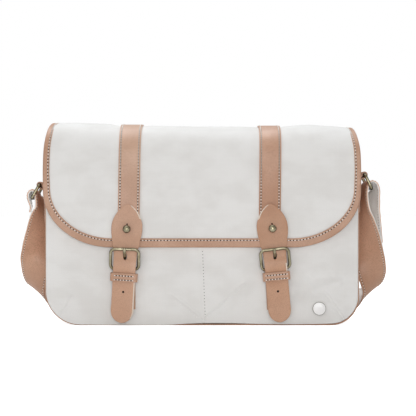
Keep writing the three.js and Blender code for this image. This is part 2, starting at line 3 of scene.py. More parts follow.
import bpy
import numpy as np
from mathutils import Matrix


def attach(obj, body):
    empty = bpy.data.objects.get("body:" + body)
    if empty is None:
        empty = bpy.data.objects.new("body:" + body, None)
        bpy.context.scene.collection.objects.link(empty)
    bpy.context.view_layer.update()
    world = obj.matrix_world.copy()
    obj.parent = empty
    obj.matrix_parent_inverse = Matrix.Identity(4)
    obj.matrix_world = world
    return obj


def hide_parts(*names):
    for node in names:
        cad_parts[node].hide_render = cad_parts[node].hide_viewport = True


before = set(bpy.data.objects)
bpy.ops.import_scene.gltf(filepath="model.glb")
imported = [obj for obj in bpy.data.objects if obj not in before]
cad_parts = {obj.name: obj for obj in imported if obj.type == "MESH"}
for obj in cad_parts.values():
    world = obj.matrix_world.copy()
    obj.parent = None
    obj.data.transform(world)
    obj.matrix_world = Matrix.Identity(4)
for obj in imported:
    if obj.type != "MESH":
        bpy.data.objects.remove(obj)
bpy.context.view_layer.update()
mm = 0.001


# Camera: a level view of the front, as a product picture is taken. The square frame is 520 mm
# wide at the flap, and its middle is 147.5 mm above the surface that the bag stands on.
picture_width = 520 * mm
flap_plane = -58 * mm
camera_place = (7.5 * mm, -1858 * mm, 147.5 * mm)
film_width = 36.0
bpy.ops.object.camera_add(location=camera_place, rotation=(radians(90), 0, 0))
camera = bpy.context.object
camera.data.sensor_width = film_width
camera.data.lens = film_width * (flap_plane - camera_place[1]) / picture_width
bpy.context.scene.camera = camera
bpy.context.scene.view_settings.view_transform = "Standard"


# Front face: a panel of heavy off-white cotton canvas with rounded lower corners. A seam runs down
# its middle, two darts run into it in a V at the foot, and a short dart takes in each lower corner.
face_half = 196 * mm
face_edge_depth = 50 * mm
face_corners = dict(left=43 * mm, right=34 * mm)
face_foot = 1.5 * mm
face_crown = 5.5 * mm
crown_top = 212 * mm
canvas_wall = 2 * mm
front_top = 215 * mm
# Sewn lines: both ends as (x, z), depth of the groove, and puff of the cloth left and right of it, in mm
front_seams = (
    ((-1.8, 104), (1.9, 1), 1.0, 0.45, 0.3),
    ((-38, 39), (0.6, 9), 1.0, 0.2, 0.6),
    ((50, 52), (2.4, 11), 0.7, 1.8, 0.2),
    ((-163, 36), (-180, 10), 1.2, 0.2, 0.5),
    ((155, 39), (180, 5), 1.2, 0.7, 0.2),
)
groove_width = 1.5
puff_width = 6.0
seam_ease = 0.12
# Soft folds of the cloth: both ends as (x, z), width, and height, minus for a hollow, in mm
front_folds = (
    ((143, 46), (170, 54), 4.5, 2.4),
    ((120, 38), (134, 58), 6, -2.0),
    ((138, 58), (160, 64), 6, -1.2),
    ((112, 88), (150, 80), 14, 0.8),
    ((140, 34), (156, 30), 7, 0.8),
    ((-124, 62), (-117, 8), 7, -0.9),
    ((-150, 60), (-168, 38), 12, 0.8),
    ((-60, 70), (-40, 34), 16, 0.9),
    ((62, 74), (44, 40), 16, 0.9),
    ((-30, 18), (-12, 4), 8, 0.8),
    ((34, 22), (12, 6), 8, 0.8),
    ((-74, 30), (-66, 4), 8, -0.6),
    ((64, 30), (58, 4), 8, -0.6),
)
fold_ease = 0.35
# Heights in mm between which the folds die away under the flap
covered = (84, 104)
# Foot of the front: places across in mm, and how far the cloth's edge rises there off the leather
foot_line = np.array((
    (-196, 0.2), (-120, -0.7), (-45, -0.9), (-32, 0), (-18, 1), (0, 1.7), (18, 1.9), (40, 1.6), (60, 0.9),
    (85, 0.3), (120, 0.1), (148, 0.5), (164, 1.2), (196, 1.0),
))
foot_height = 16 * mm
# The dart at the right lower corner draws the cloth's edge in off the leather
drawn_in = 1.1 * mm
drawn_height = 14 * mm
drawn_sides = (140 * mm, 180 * mm)


def share_of(value, low, high):
    """How far a value is from low to high, held between 0 and 1."""
    return np.clip((value - low) / (high - low), 0, 1)


def rows_of(*columns):
    """A table, such as points, from its columns; a plain number fills a whole column."""
    return np.stack(np.broadcast_arrays(*columns), axis=1)


def unit(vectors):
    """Rows of a table as directions of length 1."""
    return vectors / np.linalg.norm(vectors, axis=1)[:, None]


def side_at(rise, corner):
    """Distance of a face's side edge from its middle, at a height above its foot."""
    drop = np.clip(corner - rise, 0, corner)
    return face_half - corner + np.sqrt(corner ** 2 - drop ** 2)


def face_rows(v, top):
    """Both side edges and the height of the panel's rows: round the lower corners, then straight up."""
    round_share = 0.3
    largest = max(face_corners.values())
    straight_up = share_of(v, round_share, 1) * (top - face_foot - largest)
    rise = largest * (1 - np.cos(share_of(v, 0, round_share) * pi / 2)) + straight_up
    return -side_at(rise, face_corners["left"]), side_at(rise, face_corners["right"]), face_foot + rise


def crown(x, z):
    """How far a face swells out of its edge plane."""
    rise = np.clip(np.sin(pi * share_of(z, 0, crown_top)), 0, 1)
    return face_crown * (1 - (x / face_half) ** 2) * rise ** 0.6


def beside(x, z, start, end):
    """Place along a line, from 0 to 1 between its ends, and distance from it, plus on its left."""
    run_x, run_z = np.subtract(end, start)
    length = np.hypot(run_x, run_z)
    x = x - start[0]
    z = z - start[1]
    return (x * run_x + z * run_z) / length ** 2, (z * run_x - x * run_z) / length


def fade(along, ease):
    """1 between the ends of a line, falling smoothly to 0 just past them."""
    begun = 1 + np.tanh((along / ease + 0.5) * 4)
    ended = 1 + np.tanh(((along - 1) / ease - 0.5) * 4)
    return begun / 2 * (1 - ended / 2)


def bell(off, width):
    """1 on a line, falling smoothly to 0 beside it."""
    return np.exp(-(off / width) ** 2)


def front_relief(x, z):
    """Seams, darts and folds that show below the flap, as height out of the smooth face; all in mm."""
    relief = np.zeros_like(x)
    for start, end, groove, left, right in front_seams:
        along, off = beside(x, z, start, end)
        sewn_in = bell(off, groove_width)
        puff = np.where(off > 0, left, right) * (1 - sewn_in) * bell(off, puff_width)
        relief += fade(along, seam_ease) * (puff - groove * sewn_in)
    for start, end, width, height in front_folds:
        along, off = beside(x, z, start, end)
        relief += height * fade(along, fold_ease) * bell(off, width)
    return relief * (1 - share_of(z, *covered))


def front_depth(x, z):
    """Distance of the front face before the bag's middle."""
    return face_edge_depth + crown(x, z) + mm * front_relief(x / mm, z / mm)


def laid_sheet(name, columns, rows, place):
    """A grid laid out by place(u, v), which gives points and the cloth's own measure in metres."""
    bpy.ops.mesh.primitive_grid_add(x_subdivisions=columns, y_subdivisions=rows, size=2.0)
    sheet = bpy.context.object
    sheet.name = name
    sheet.data.name = name
    grid = np.empty(len(sheet.data.vertices) * 3)
    sheet.data.vertices.foreach_get("co", grid)
    u, v, _ = (grid.reshape(-1, 3).T + 1) / 2
    points, measure = place(u, v)
    sheet.data.vertices.foreach_set("co", np.ascontiguousarray(points).ravel())
    corners = np.empty(len(sheet.data.loops), dtype=np.int32)
    sheet.data.loops.foreach_get("vertex_index", corners)
    sheet.data.uv_layers.active.data.foreach_set("uv", np.ascontiguousarray(measure[corners]).ravel())
    sheet.data.update()
    bpy.ops.object.shade_smooth()
    return sheet


def chosen(piece):
    """Makes a piece the only selected one, and the active one."""
    bpy.ops.object.select_all(action="DESELECT")
    piece.select_set(True)
    bpy.context.view_layer.objects.active = piece


def worked(piece, kind, **settings):
    """Adds a modifier with these settings and applies it."""
    chosen(piece)
    modifier = piece.modifiers.new(kind.lower(), kind)
    for setting, value in settings.items():
        setattr(modifier, setting, value)
    bpy.ops.object.modifier_apply(modifier=modifier.name)


def linear(colour, share=1.0):
    """A colour as seen on screen, 0 to 255, as the shader wants it, darkened to a share."""
    return (*(share * ((part / 255 + 0.055) / 1.055) ** 2.4 for part in colour), 1.0)


def fed(tree, node, values):
    """Gives a node's inputs, by name or number, a socket or a plain value each. Returns its outputs."""
    for name, value in values.items():
        if isinstance(value, bpy.types.NodeSocket):
            tree.links.new(value, node.inputs[name])
        else:
            node.inputs[name].default_value = value
    return node.outputs


def added(tree, kind, values, **settings):
    """A new shader node with its settings and its inputs fed. Returns its outputs."""
    node = tree.nodes.new("ShaderNode" + kind)
    for name, setting in settings.items():
        setattr(node, name, setting)
    return fed(tree, node, values)


def step(tree, operation, *values):
    """A Math node on sockets or numbers. Returns its output."""
    return added(tree, "Math", dict(enumerate(values)), operation=operation)[0]


def spots(tree, vector, scale, detail=2.0, stretch=None):
    """Noise on a vector, stretched where asked. Returns its value."""
    if stretch:
        vector = added(tree, "Mapping", {"Vector": vector, "Scale": stretch})[0]
    return added(tree, "TexNoise", {"Vector": vector, "Scale": scale, "Detail": detail})[0]


def spread(tree, value, low, high):
    """Stretches a value so that low becomes 0 and high becomes 1, with soft ends."""
    values = {"Value": value, "From Min": low, "From Max": high}
    return added(tree, "MapRange", values, interpolation_type="SMOOTHSTEP")["Result"]


def between(tree, share, low, high):
    """A colour from low to high by a share of 0 to 1; low and high are colours or sockets."""
    return added(tree, "Mix", {"Factor": share, "A": low, "B": high}, data_type="RGBA")["Result"]


def raised(tree, height, strength, distance):
    """Bump from a height. Returns the normal."""
    return added(tree, "Bump", {"Height": height, "Strength": strength, "Distance": distance})[0]


def effect_group(name, *outputs):
    """An empty node group that takes a vector and a scale; returns its tree, its inputs and its end."""
    tree = bpy.data.node_groups.new(name, "ShaderNodeTree")
    for socket, kind in (("Vector", "NodeSocketVector"), ("Scale", "NodeSocketFloat")):
        tree.interface.new_socket(name=socket, in_out="INPUT", socket_type=kind)
    for socket in outputs:
        tree.interface.new_socket(name=socket, in_out="OUTPUT", socket_type="NodeSocketFloat")
    return tree, tree.nodes.new("NodeGroupInput").outputs, tree.nodes.new("NodeGroupOutput")


def plain_weave():
    """Threads that pass over and under each other, and slubs that run along them."""
    tree, given, end = effect_group("plain_weave", "Height", "Slub")
    split = added(tree, "SeparateXYZ", {0: given["Vector"]})
    waves = []
    for axis in (0, 1):
        turn = step(tree, "MULTIPLY", split[axis], given["Scale"])
        waves.append(step(tree, "SINE", step(tree, "MULTIPLY", turn, pi)))
    crossing = step(tree, "ABSOLUTE", step(tree, "MULTIPLY", *waves))
    warp = spots(tree, given["Vector"], 1.0, 3.0, (700, 16, 1))
    weft = spots(tree, given["Vector"], 1.0, 3.0, (16, 700, 1))
    slub = step(tree, "MULTIPLY", step(tree, "ADD", warp, weft), 0.5)
    fed(tree, end, {"Height": step(tree, "SQRT", crossing), "Slub": slub})
    return tree


weave = plain_weave()


def new_material(name):
    """A material; returns it, its tree and the coordinates on what it covers."""
    material = bpy.data.materials.new(name)
    material.use_nodes = True
    return material, material.node_tree, material.node_tree.nodes.new("ShaderNodeTexCoord").outputs


def shaded(material, values):
    """Feeds a material's Principled shader and returns the material."""
    fed(material.node_tree, material.node_tree.nodes["Principled BSDF"], values)
    return material


def canvas_finish(name, pale, deep, threads=1100.0):
    """Cotton canvas: matt, with a plain weave, slubs along the threads and a faint uneven tone that is
    painted shade of soft folds.
    """
    material, tree, place = new_material(name)
    cloth = added(tree, "Group", {"Vector": place["UV"], "Scale": threads}, node_tree=weave)
    # Painted shade: a slow, uneven tone stands in for the shading of soft folds in the cloth.
    tone = spread(tree, spots(tree, place["Object"], 24.0, 3.0, (1.0, 1.0, 1.5)), 0.34, 0.66)
    streak = spread(tree, cloth["Slub"], 0.2, 0.8)
    shade = step(tree, "MULTIPLY_ADD", tone, 0.75, step(tree, "MULTIPLY", streak, 0.25))
    colour = between(tree, shade, linear(deep), linear(pale))
    hollow = spread(tree, cloth["Height"], 0.0, 0.75)
    height = step(tree, "MULTIPLY_ADD", cloth["Slub"], 0.8, cloth["Height"])
    return shaded(material, {
        "Base Color": between(tree, hollow, linear(deep, 0.93), colour),
        "Roughness": step(tree, "MULTIPLY_ADD", cloth["Slub"], 0.12, 0.84),
        "Specular IOR Level": 0.25,
        "Sheen Weight": 0.12,
        "Sheen Roughness": 0.5,
        "Normal": raised(tree, height, 0.22, 0.3 * mm),
    })


canvas = canvas_finish("off_white_canvas", (242, 240, 237), (230, 227, 223))


def fitted(piece, slot, materials, *nodes):
    """Gives a piece its materials and sets it on the bag in place of the nodes named."""
    by_face = np.empty(len(piece.data.polygons), dtype=np.int32)
    piece.data.polygons.foreach_get("material_index", by_face)
    piece.data.materials.clear()
    for material in materials:
        piece.data.materials.append(material)
    piece.data.polygons.foreach_set("material_index", by_face)
    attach(piece, "root")
    if nodes:
        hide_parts(*nodes)


def walled(piece, wall, rim=0):
    """Gives a sheet its thickness, inwards from its outer face; rim steps to its edges' material."""
    worked(piece, "SOLIDIFY", thickness=wall, offset=-1.0, material_offset_rim=rim)


def canvas_panel(node, columns, rows, place):
    """A panel of the bag's canvas, set in place of a node."""
    panel = laid_sheet(f"{node}_cloth", columns, rows, place)
    walled(panel, canvas_wall)
    fitted(panel, "canvas", [canvas], node)
    return panel


def front_sheet(u, v):
    left, right, z = face_rows(v, front_top)
    x = left + (right - left) * u
    x = x - drawn_in * bell(z - drawn_height, drawn_height) * share_of(x, *drawn_sides)
    z = z + np.interp(x / mm, *foot_line.T) * mm * (1 - share_of(z, 0, foot_height))
    return rows_of(x, -front_depth(x, z), z), rows_of(x, z)


front = canvas_panel("front_panel", 230, 132, front_sheet)


def front_line(start, end):
    """A straight run on the front face between points given as (x, z) in mm, and the way out of it."""
    share = np.linspace(0, 1, 60)[:, None]
    x, z = (np.array(start) * (1 - share) + np.array(end) * share).T * mm
    reach = 0.5 * mm
    slope_x = (front_depth(x + reach, z) - front_depth(x - reach, z)) / (2 * reach)
    slope_z = (front_depth(x, z + reach) - front_depth(x, z - reach)) / (2 * reach)
    return rows_of(x, -front_depth(x, z), z), unit(rows_of(-slope_x, -1, -slope_z))


def thread_finish(name, colour):
    """Waxed sewing thread, a little glossy, with a fine twist."""
    material, tree, place = new_material(name)
    tone = spread(tree, spots(tree, place["Object"], 900.0), 0.3, 0.7)
    return shaded(material, {
        "Base Color": between(tree, tone, linear(colour, 0.86), linear(colour)),
        "Roughness": 0.6,
        "Normal": raised(tree, tone, 0.3, 0.1 * mm),
    })


def painted_hole_shade_finish():
    """Painted shade for a needle hole: a dark colour that stands in for the shadow down in the hole."""
    material, tree, place = new_material("painted_hole_shade")
    tone = spots(tree, place["Object"], 600.0)
    return shaded(material, {
        "Base Color": between(tree, tone, linear((34, 22, 16)), linear((54, 36, 27))),
        "Roughness": 0.95,
    })


cream_thread = thread_finish("cream_thread", (246, 240, 232))
white_thread = thread_finish("white_thread", (246, 244, 241))
painted_hole_shade = painted_hole_shade_finish()


def run_along(points):
    """Distance of each point along the line through them."""
    return np.concatenate([[0], np.cumsum(np.linalg.norm(np.diff(points, axis=0), axis=1))])


def looked_up(where, travel, table):
    """Rows of a table at distances along the line that it follows."""
    return rows_of(*(np.interp(where, travel, column) for column in table.T))


def sewn(name, runs, thread, slot="leather", pitch=3.75 * mm, length=2.1 * mm, width=1.3 * mm,
         hole=0.9 * mm):
    """One joined mesh of stitches, with a dark disc of painted shade for a needle hole between each two.

    runs: points of each row, with the way out of the piece there, or one way out for them all.
    """
    sides = 6
    # Rings of one stitch: place along it, size, and how far it lies out of the row
    rings = ((-0.5, 0.45, -0.25), (-0.3, 1.0, 0.12), (0.3, 1.0, 0.12), (0.5, 0.45, -0.25))
    hole_lift = 0.14 * mm
    turn = np.arange(sides)[:, None] * 2 * pi / sides
    vertices = []
    faces = []
    finish = []

    def ring_at(centre, one_way, other_way, radius):
        first = len(vertices)
        vertices.extend(centre + (np.cos(turn) * one_way + np.sin(turn) * other_way) * radius)
        return range(first, first + sides)

    for points, outs in runs:
        travel = run_along(points)
        count = int(travel[-1] / pitch)
        centres = (travel[-1] - count * pitch) / 2 + pitch * (np.arange(count) + 0.5)
        start, middle, end = [looked_up(centres + shift, travel, points)
                              for shift in (-length / 2, 0, length / 2)]
        ahead = unit(end - start)
        out = unit(looked_up(centres, travel, np.broadcast_to(outs, points.shape)))
        across = np.cross(ahead, out)
        for k in range(count):
            loops = []
            for along, size, lift in rings:
                centre = middle[k] + ahead[k] * along * length + out[k] * lift * width
                loops.append(ring_at(centre, across[k], out[k], size * width / 2))
            for low, high in zip(loops, loops[1:]):
                for side, after in enumerate((*range(1, sides), 0)):
                    faces.append((low[side], low[after], high[after], high[side]))
            faces.extend([loops[0][::-1], loops[-1]])
            finish.extend([0] * (len(faces) - len(finish)))
            # Painted shade: a dark disc between two stitches stands in for the shadow in the needle hole.
            if hole and k:
                gap = (middle[k] + middle[k - 1]) / 2 + out[k] * hole_lift
                faces.append(ring_at(gap, ahead[k], across[k], hole)[::-1])
                finish.append(1)
    mesh = bpy.data.meshes.new(name)
    mesh.from_pydata(vertices, [], faces)
    mesh.polygons.foreach_set("material_index", finish)
    mesh.polygons.foreach_set("use_smooth", [kind == 0 for kind in finish])
    stitches = bpy.data.objects.new(name, mesh)
    bpy.context.scene.collection.objects.link(stitches)
    fitted(stitches, slot, [thread, painted_hole_shade])


sewn("front_seam_stitches", [front_line((0.6, 98), (4.2, 6))],
     white_thread, slot="canvas", pitch=3.95 * mm, width=0.9 * mm, hole=0.5 * mm)
sewn("front_dart_stitches", [
    front_line((-36, 33.5), (-4, 8.5)),
    front_line((48, 46.5), (8, 11.5)),
    front_line((-166.5, 35), (-180.5, 13)),
    front_line((158.5, 38), (179.5, 9)),
], white_thread, slot="canvas", width=0.8 * mm, hole=0)


# Back face: a plain panel of the same canvas, a little higher than the front, with the flap sewn to
# its upper edge.
back_top = 235 * mm
back_ripple = 0.5 * mm


def back_sheet(u, v):
    left, right, z = face_rows(v, back_top)
    x = right + (left - right) * u
    swell = crown(x, z)
    ripple = back_ripple * np.sin(x / (41 * mm) + 0.6) * np.sin(z / (57 * mm)) * swell / face_crown
    return rows_of(x, face_edge_depth + swell + ripple, z), rows_of(x, z)


back = canvas_panel("back_panel", 120, 80, back_sheet)


# Gusset: one strip of natural tan leather that runs down one side, along the base and up the other.
# Both faces are sewn to its edges, and it swells out a little at the sides.
gusset_half = 197.5 * mm
gusset_corners = dict(left=44.5 * mm, right=35.5 * mm)
gusset_half_depth = 47.7 * mm
gusset_top = 200 * mm
gusset_crown = 0.5 * mm
leather_wall = 2 * mm


def gusset_side(travel, corner):
    """Place, outward direction and share of the straight side, at a distance from the top of a side."""
    side = gusset_top - corner
    turn = np.clip((travel - side) / corner, 0, pi / 2)
    out_x = np.cos(turn)
    out_z = -np.sin(turn)
    along_base = np.clip(travel - side - corner * pi / 2, 0, None)
    x = gusset_half - corner + corner * out_x - along_base
    z = np.where(travel < side, gusset_top - travel, corner + corner * out_z)
    return x, z, out_x, out_z, np.clip(1 - travel / side, 0, 1)


def gusset_strip(u, v):
    lengths = {side: gusset_top + gusset_half - (2 - pi / 2) * corner
               for side, corner in gusset_corners.items()}
    whole = sum(lengths.values())
    travel = v * whole
    on_right = travel < lengths["right"]
    right = gusset_side(np.minimum(travel, lengths["right"]), gusset_corners["right"])
    left = gusset_side(np.minimum(whole - travel, lengths["left"]), gusset_corners["left"])
    x, z, out_x, out_z, up = [np.where(on_right, *pair) for pair in zip(right, left)]
    across = 1 - 2 * u
    swell = gusset_crown * (1 - across ** 2) * np.sqrt(np.clip(np.sin(pi * up * 0.9), 0, None))
    x = np.where(on_right, 1, -1) * (x + out_x * swell)
    depth = across * gusset_half_depth
    return rows_of(x, depth, z + out_z * swell), rows_of(depth, travel)


def pebble_grain():
    """Fine leather grain: rounded cells with creases between them, pores and a slow change of tone."""
    tree, given, end = effect_group("pebble_grain", "Height", "Pores", "Tone")
    wander = (1.2 * mm, 1.2 * mm, 1.2 * mm)
    warp = added(tree, "TexNoise", {"Vector": given["Vector"], "Scale": 260.0})["Color"]
    bent = added(tree, "VectorMath", {0: warp, 1: wander, 2: given["Vector"]}, operation="MULTIPLY_ADD")[0]
    cells = added(tree, "TexVoronoi", {"Vector": bent, "Scale": given["Scale"], "Smoothness": 0.6},
                  feature="SMOOTH_F1")["Distance"]
    dome = step(tree, "SUBTRACT", 1.0, cells)
    fine = spots(tree, given["Vector"], 2600.0)
    slow = spots(tree, given["Vector"], 26.0, 4.0)
    fed(tree, end, {
        "Height": step(tree, "MULTIPLY_ADD", fine, 0.3, dome),
        "Pores": spread(tree, cells, 0.35, 0.75),
        "Tone": spread(tree, slow, 0.3, 0.7),
    })
    return tree


grain = pebble_grain()


def leather_finish(name, pale, deep, upper=None, rise=(60 * mm, 130 * mm)):
    """Natural vegetable-tanned leather: waxed, fine-grained, darker in the pores and uneven in tone.

    upper: a pale and a deep colour that it turns to between the two heights of rise; painted light or painted
    shade that makes up for how light falls on the piece's upper part.
    """
    material, tree, place = new_material(name)
    skin = added(tree, "Group", {"Vector": place["Object"], "Scale": 900.0}, node_tree=grain)
    colour = between(tree, skin["Tone"], linear(deep), linear(pale))
    # Painted light or shade: the upper part of the piece takes another tone, standing in for how light falls
    # there.
    if upper:
        height = spread(tree, added(tree, "SeparateXYZ", {0: place["Object"]})["Z"], *rise)
        painted_upper_tone = between(tree, skin["Tone"], linear(upper[1]), linear(upper[0]))
        colour = between(tree, height, colour, painted_upper_tone)
    in_pores = step(tree, "MULTIPLY", skin["Pores"], 0.35)
    return shaded(material, {
        "Base Color": between(tree, in_pores, colour, linear(deep, 0.72)),
        "Roughness": step(tree, "MULTIPLY_ADD", skin["Tone"], -0.08, 0.5),
        "Specular IOR Level": 0.5,
        "Normal": raised(tree, skin["Height"], 0.22, 0.25 * mm),
    })


leather = leather_finish("tan_leather", (199, 157, 131), (187, 144, 117))


def leather_strip(node, columns, rows, place, wall=leather_wall, finish=leather):
    """A strip of the bag's leather, set in place of a node."""
    strip = laid_sheet(f"{node}_leather", columns, rows, place)
    walled(strip, wall)
    fitted(strip, "leather", [finish], node)


leather_strip("gusset", 28, 260, gusset_strip)


# Flap: one sheet of the same canvas, sewn to the back, folded over the top and hanging down the
# front, with wide round lower corners. Its top line sags a little between the straps and the ends.
# Its sections from the seam on the back to where it hangs straight: half width, depth and height in mm
flap_sections = np.array((
    (190, 53.2, 206), (190, 53.6, 232), (190.3, 47.5, 248), (191, 25, 254.4), (192.4, -16, 252.4),
    (194, -44, 242.6), (196.2, -55.5, 226), (197.3, -58.6, 200), (197.3, -59, 169.4),
)) * mm
flap_half, _, flap_hang_start = flap_sections[-1]
flap_corner_width = 85 * mm
flap_corner_height = 69.6 * mm
# Top line: places across in mm, and how far the cloth sags or rises there
top_line = np.array((
    (-200, -3.5), (-196, -1.5), (-188, 1.5), (-165, 2.0), (-120, 0.7), (-106, -2.2), (-100, -2.7),
    (-78, -2.7), (-68, -1.7), (-34, -2.4), (0, -2.9), (28, -2.8), (60, -3.2), (73, -4.0), (98, -4.0),
    (110, -2.0), (122, -1.3), (138, -0.4), (154, -1.7), (169, -2.3), (185, -3.9), (196, -7), (200, -9),
))
top_blur = bell(np.arange(-12, 13), 4.5)
top_across = np.arange(-212, 213)
top_sag = np.convolve(np.interp(top_across, *top_line.T), top_blur / top_blur.sum(), mode="same") * mm
# Heights between which the sag of the top line comes in
top_heights = (205 * mm, 250 * mm)
broad_ripple = 0.5 * mm
small_ripple = 0.45 * mm


def smooth(share):
    """A share of 0 to 1 with soft ends."""
    return share * share * (3 - 2 * share)


def through(rows, steps, measured=3):
    """Points evenly spaced on a smooth curve through rows; the first columns measure the distance."""
    rows = np.array(rows, float)
    ends = np.vstack([2 * rows[0] - rows[1], rows, 2 * rows[-1] - rows[-2]])
    share = np.linspace(0, 1, 48, endpoint=False)[:, None]
    dense = []
    for k in range(len(rows) - 1):
        before, start, end, after = ends[k:k + 4]
        first, middle, last = [
            max(np.linalg.norm((high - low)[:measured]), 1e-9) ** 0.5
            for low, high in ((before, start), (start, end), (end, after))]
        leave = (start - before) / first - (end - before) / (first + middle) + (end - start) / middle
        reach = (end - start) / middle - (after - start) / (middle + last) + (after - end) / last
        leave = leave * middle
        reach = reach * middle
        dense.append(start + leave * share + (3 * (end - start) - 2 * leave - reach) * share ** 2
                     + (2 * (start - end) + leave + reach) * share ** 3)
    dense = np.vstack([*dense, rows[-1:]])
    travel = run_along(dense[:, :measured])
    even = np.linspace(0, travel[-1], steps + 1)
    return looked_up(even, travel, dense), even


flap_curve, flap_travel = through(flap_sections, 400)
flap_slope = np.gradient(flap_curve, axis=0)[:, 1:]
flap_table = np.hstack([flap_curve, unit(flap_slope)])
flap_over = flap_travel[-1]
flap_length = flap_over + flap_corner_height


def flap_row(travel):
    """Half width, middle of the cloth and outward direction at a distance from the seam on the back."""
    half, y, z, slope_y, slope_z = looked_up(np.clip(travel, 0, flap_over), flap_travel, flap_table).T
    drop = np.clip(travel - flap_over, 0, flap_corner_height)
    half = half - flap_corner_width * (1 - np.sqrt(np.clip(1 - (drop / flap_corner_height) ** 2, 0, 1)))
    hanging = travel > flap_over
    return half, y, z - drop, np.where(hanging, -1.0, slope_z), np.where(hanging, 0.0, -slope_y)


def flap_place(x, travel, lift):
    """A point over the middle of the flap's cloth, and the way out of it."""
    _, y, z, out_y, out_z = flap_row(travel)
    sag = smooth(share_of(z, *top_heights)) * np.interp(x / mm, top_across, top_sag)
    across = x / mm
    up = z / mm
    ripple = broad_ripple * np.sin(across / 33 + 1.0) * np.sin(up / 24 + across / 90)
    ripple = ripple + small_ripple * np.sin(across / 19 - up / 31) * np.sin(up / 17 + 2.0)
    lift = lift + ripple * np.clip(-y / face_edge_depth, 0, 1)
    return rows_of(x, y + out_y * lift, z + sag + out_z * lift), rows_of(0, out_y, out_z)


def flap_sheet(u, v):
    corner_share = 0.34
    turn = share_of(v, 1 - corner_share, 1) * pi / 2
    travel = share_of(v, 0, 1 - corner_share) * flap_over + flap_corner_height * np.sin(turn)
    x = (1 - 2 * u) * flap_row(travel)[0]
    return flap_place(x, travel, canvas_wall / 2)[0], rows_of(x, travel)


flap = canvas_panel("flap", 150, 170, flap_sheet)


# Flap binding: a narrow strip of the tan leather folded over the flap's whole free edge and sewn
# through both sides in cream thread.
binding_foot_width = 9.8 * mm
binding_side_width = 6.6 * mm
binding_row = 0.74
binding_wall = 1.2 * mm
binding_half_gap = 1.3 * mm
binding_fold = 1.6 * mm
binding_dip = 0.22 * mm
binding_outside = binding_half_gap + binding_wall
# Distances below the start of the corners between which the strip widens
binding_widens = (-30 * mm, flap_corner_height - 10 * mm)
row_ends = 2 * mm
binding_sink = 0.1 * mm


def edge_route():
    """Points of the flap's edge down one side, along the foot and up the other, with way out and in."""
    turn = np.linspace(0, pi / 2, 80)[1:]
    travel = np.concatenate([np.linspace(0, flap_over, 150), flap_over + flap_corner_height * np.sin(turn)])
    half = flap_row(travel)[0]
    foot_x = np.linspace(-half[-1], half[-1], 90)[1:-1]
    x = np.concatenate([-half, foot_x, half[::-1]])
    travel = np.concatenate([travel, np.full(len(foot_x), flap_length), travel[::-1]])
    points, out = flap_place(x, travel, 0.0)
    inward = unit(np.cross(out, np.gradient(points, axis=0)))
    widened = smooth(share_of(travel - flap_over, *binding_widens))
    width = binding_side_width + (binding_foot_width - binding_side_width) * widened
    return np.hstack([points, out, inward, width[:, None]]), run_along(points)


edge_table, edge_travel = edge_route()


def on_edge(travel, inward, outward):
    """A point beside the flap's edge: distance along it, share of the strip's width in, and out."""
    points, out, way_in, width = np.split(looked_up(travel, edge_travel, edge_table), (3, 6, 9), axis=1)
    inward = inward * np.where(inward > 0, width[:, 0], binding_fold)
    return points + way_in * inward[:, None] + out * np.reshape(outward, (-1, 1)), out


def binding_section():
    """Outer line of the folded strip, from its front edge round the fold to its back edge."""
    flat = np.linspace(1, 0, 11)
    side = binding_outside - binding_dip * bell(flat - binding_row, 0.1)
    bend = np.linspace(0, pi, 11)[1:-1]
    return (np.concatenate([flat, -np.sin(bend), flat[::-1]]),
            np.concatenate([side, binding_outside * np.cos(bend), -side[::-1]]))


fold_in, fold_out = binding_section()
fold_steps = np.arange(len(fold_in))


def binding_strip(u, v):
    where = u * fold_steps[-1]
    travel = v * edge_travel[-1]
    points, _ = on_edge(travel, np.interp(where, fold_steps, fold_in), np.interp(where, fold_steps, fold_out))
    return points, rows_of(where * mm, travel)


leather_strip("flap_binding", fold_steps[-1], 560, binding_strip, wall=binding_wall)
binding_run = np.linspace(row_ends, edge_travel[-1] - row_ends, 700)
binding_seam = on_edge(binding_run, binding_row, binding_outside - binding_sink)
sewn("binding_stitches", [binding_seam], cream_thread, pitch=4.14 * mm, length=2.3 * mm, width=1.1 * mm)


# Flap straps: two flat tan leather straps sewn down on the flap with a row of cream stitches along
# each edge, from the seam on the back, over the top, to under the oval strap heads.
flap_strap_half = 13.6 * mm
flap_strap_foot = 112 * mm
flap_strap_top = 245 * mm
flap_strap_lift = 3.3 * mm
flap_strap_row = 11.2 * mm
flap_strap_sink = 0.25 * mm
flap_strap_lines = dict(left=(-91.8 * mm, -90 * mm), right=(84.4 * mm, 85.6 * mm))
flap_strap_end = flap_over + flap_hang_start - flap_strap_foot
edge_fall = 0.35 * mm
row_depth = 0.28 * mm
row_reach = 0.9 * mm


def strap_middle(side, travel):
    """Where the middle of a flap strap lies across the flap: it leans on its way up the front."""
    foot, top = flap_strap_lines[side]
    _, y, z, _, _ = flap_row(travel)
    return foot + (top - foot) * np.where(y > 0, 1.0, share_of(z, flap_strap_foot, flap_strap_top))


def sunk(across, *rows):
    """The shallow groove that each row of stitches pulls into leather."""
    return row_depth * sum(bell(across - row, row_reach) for row in rows)


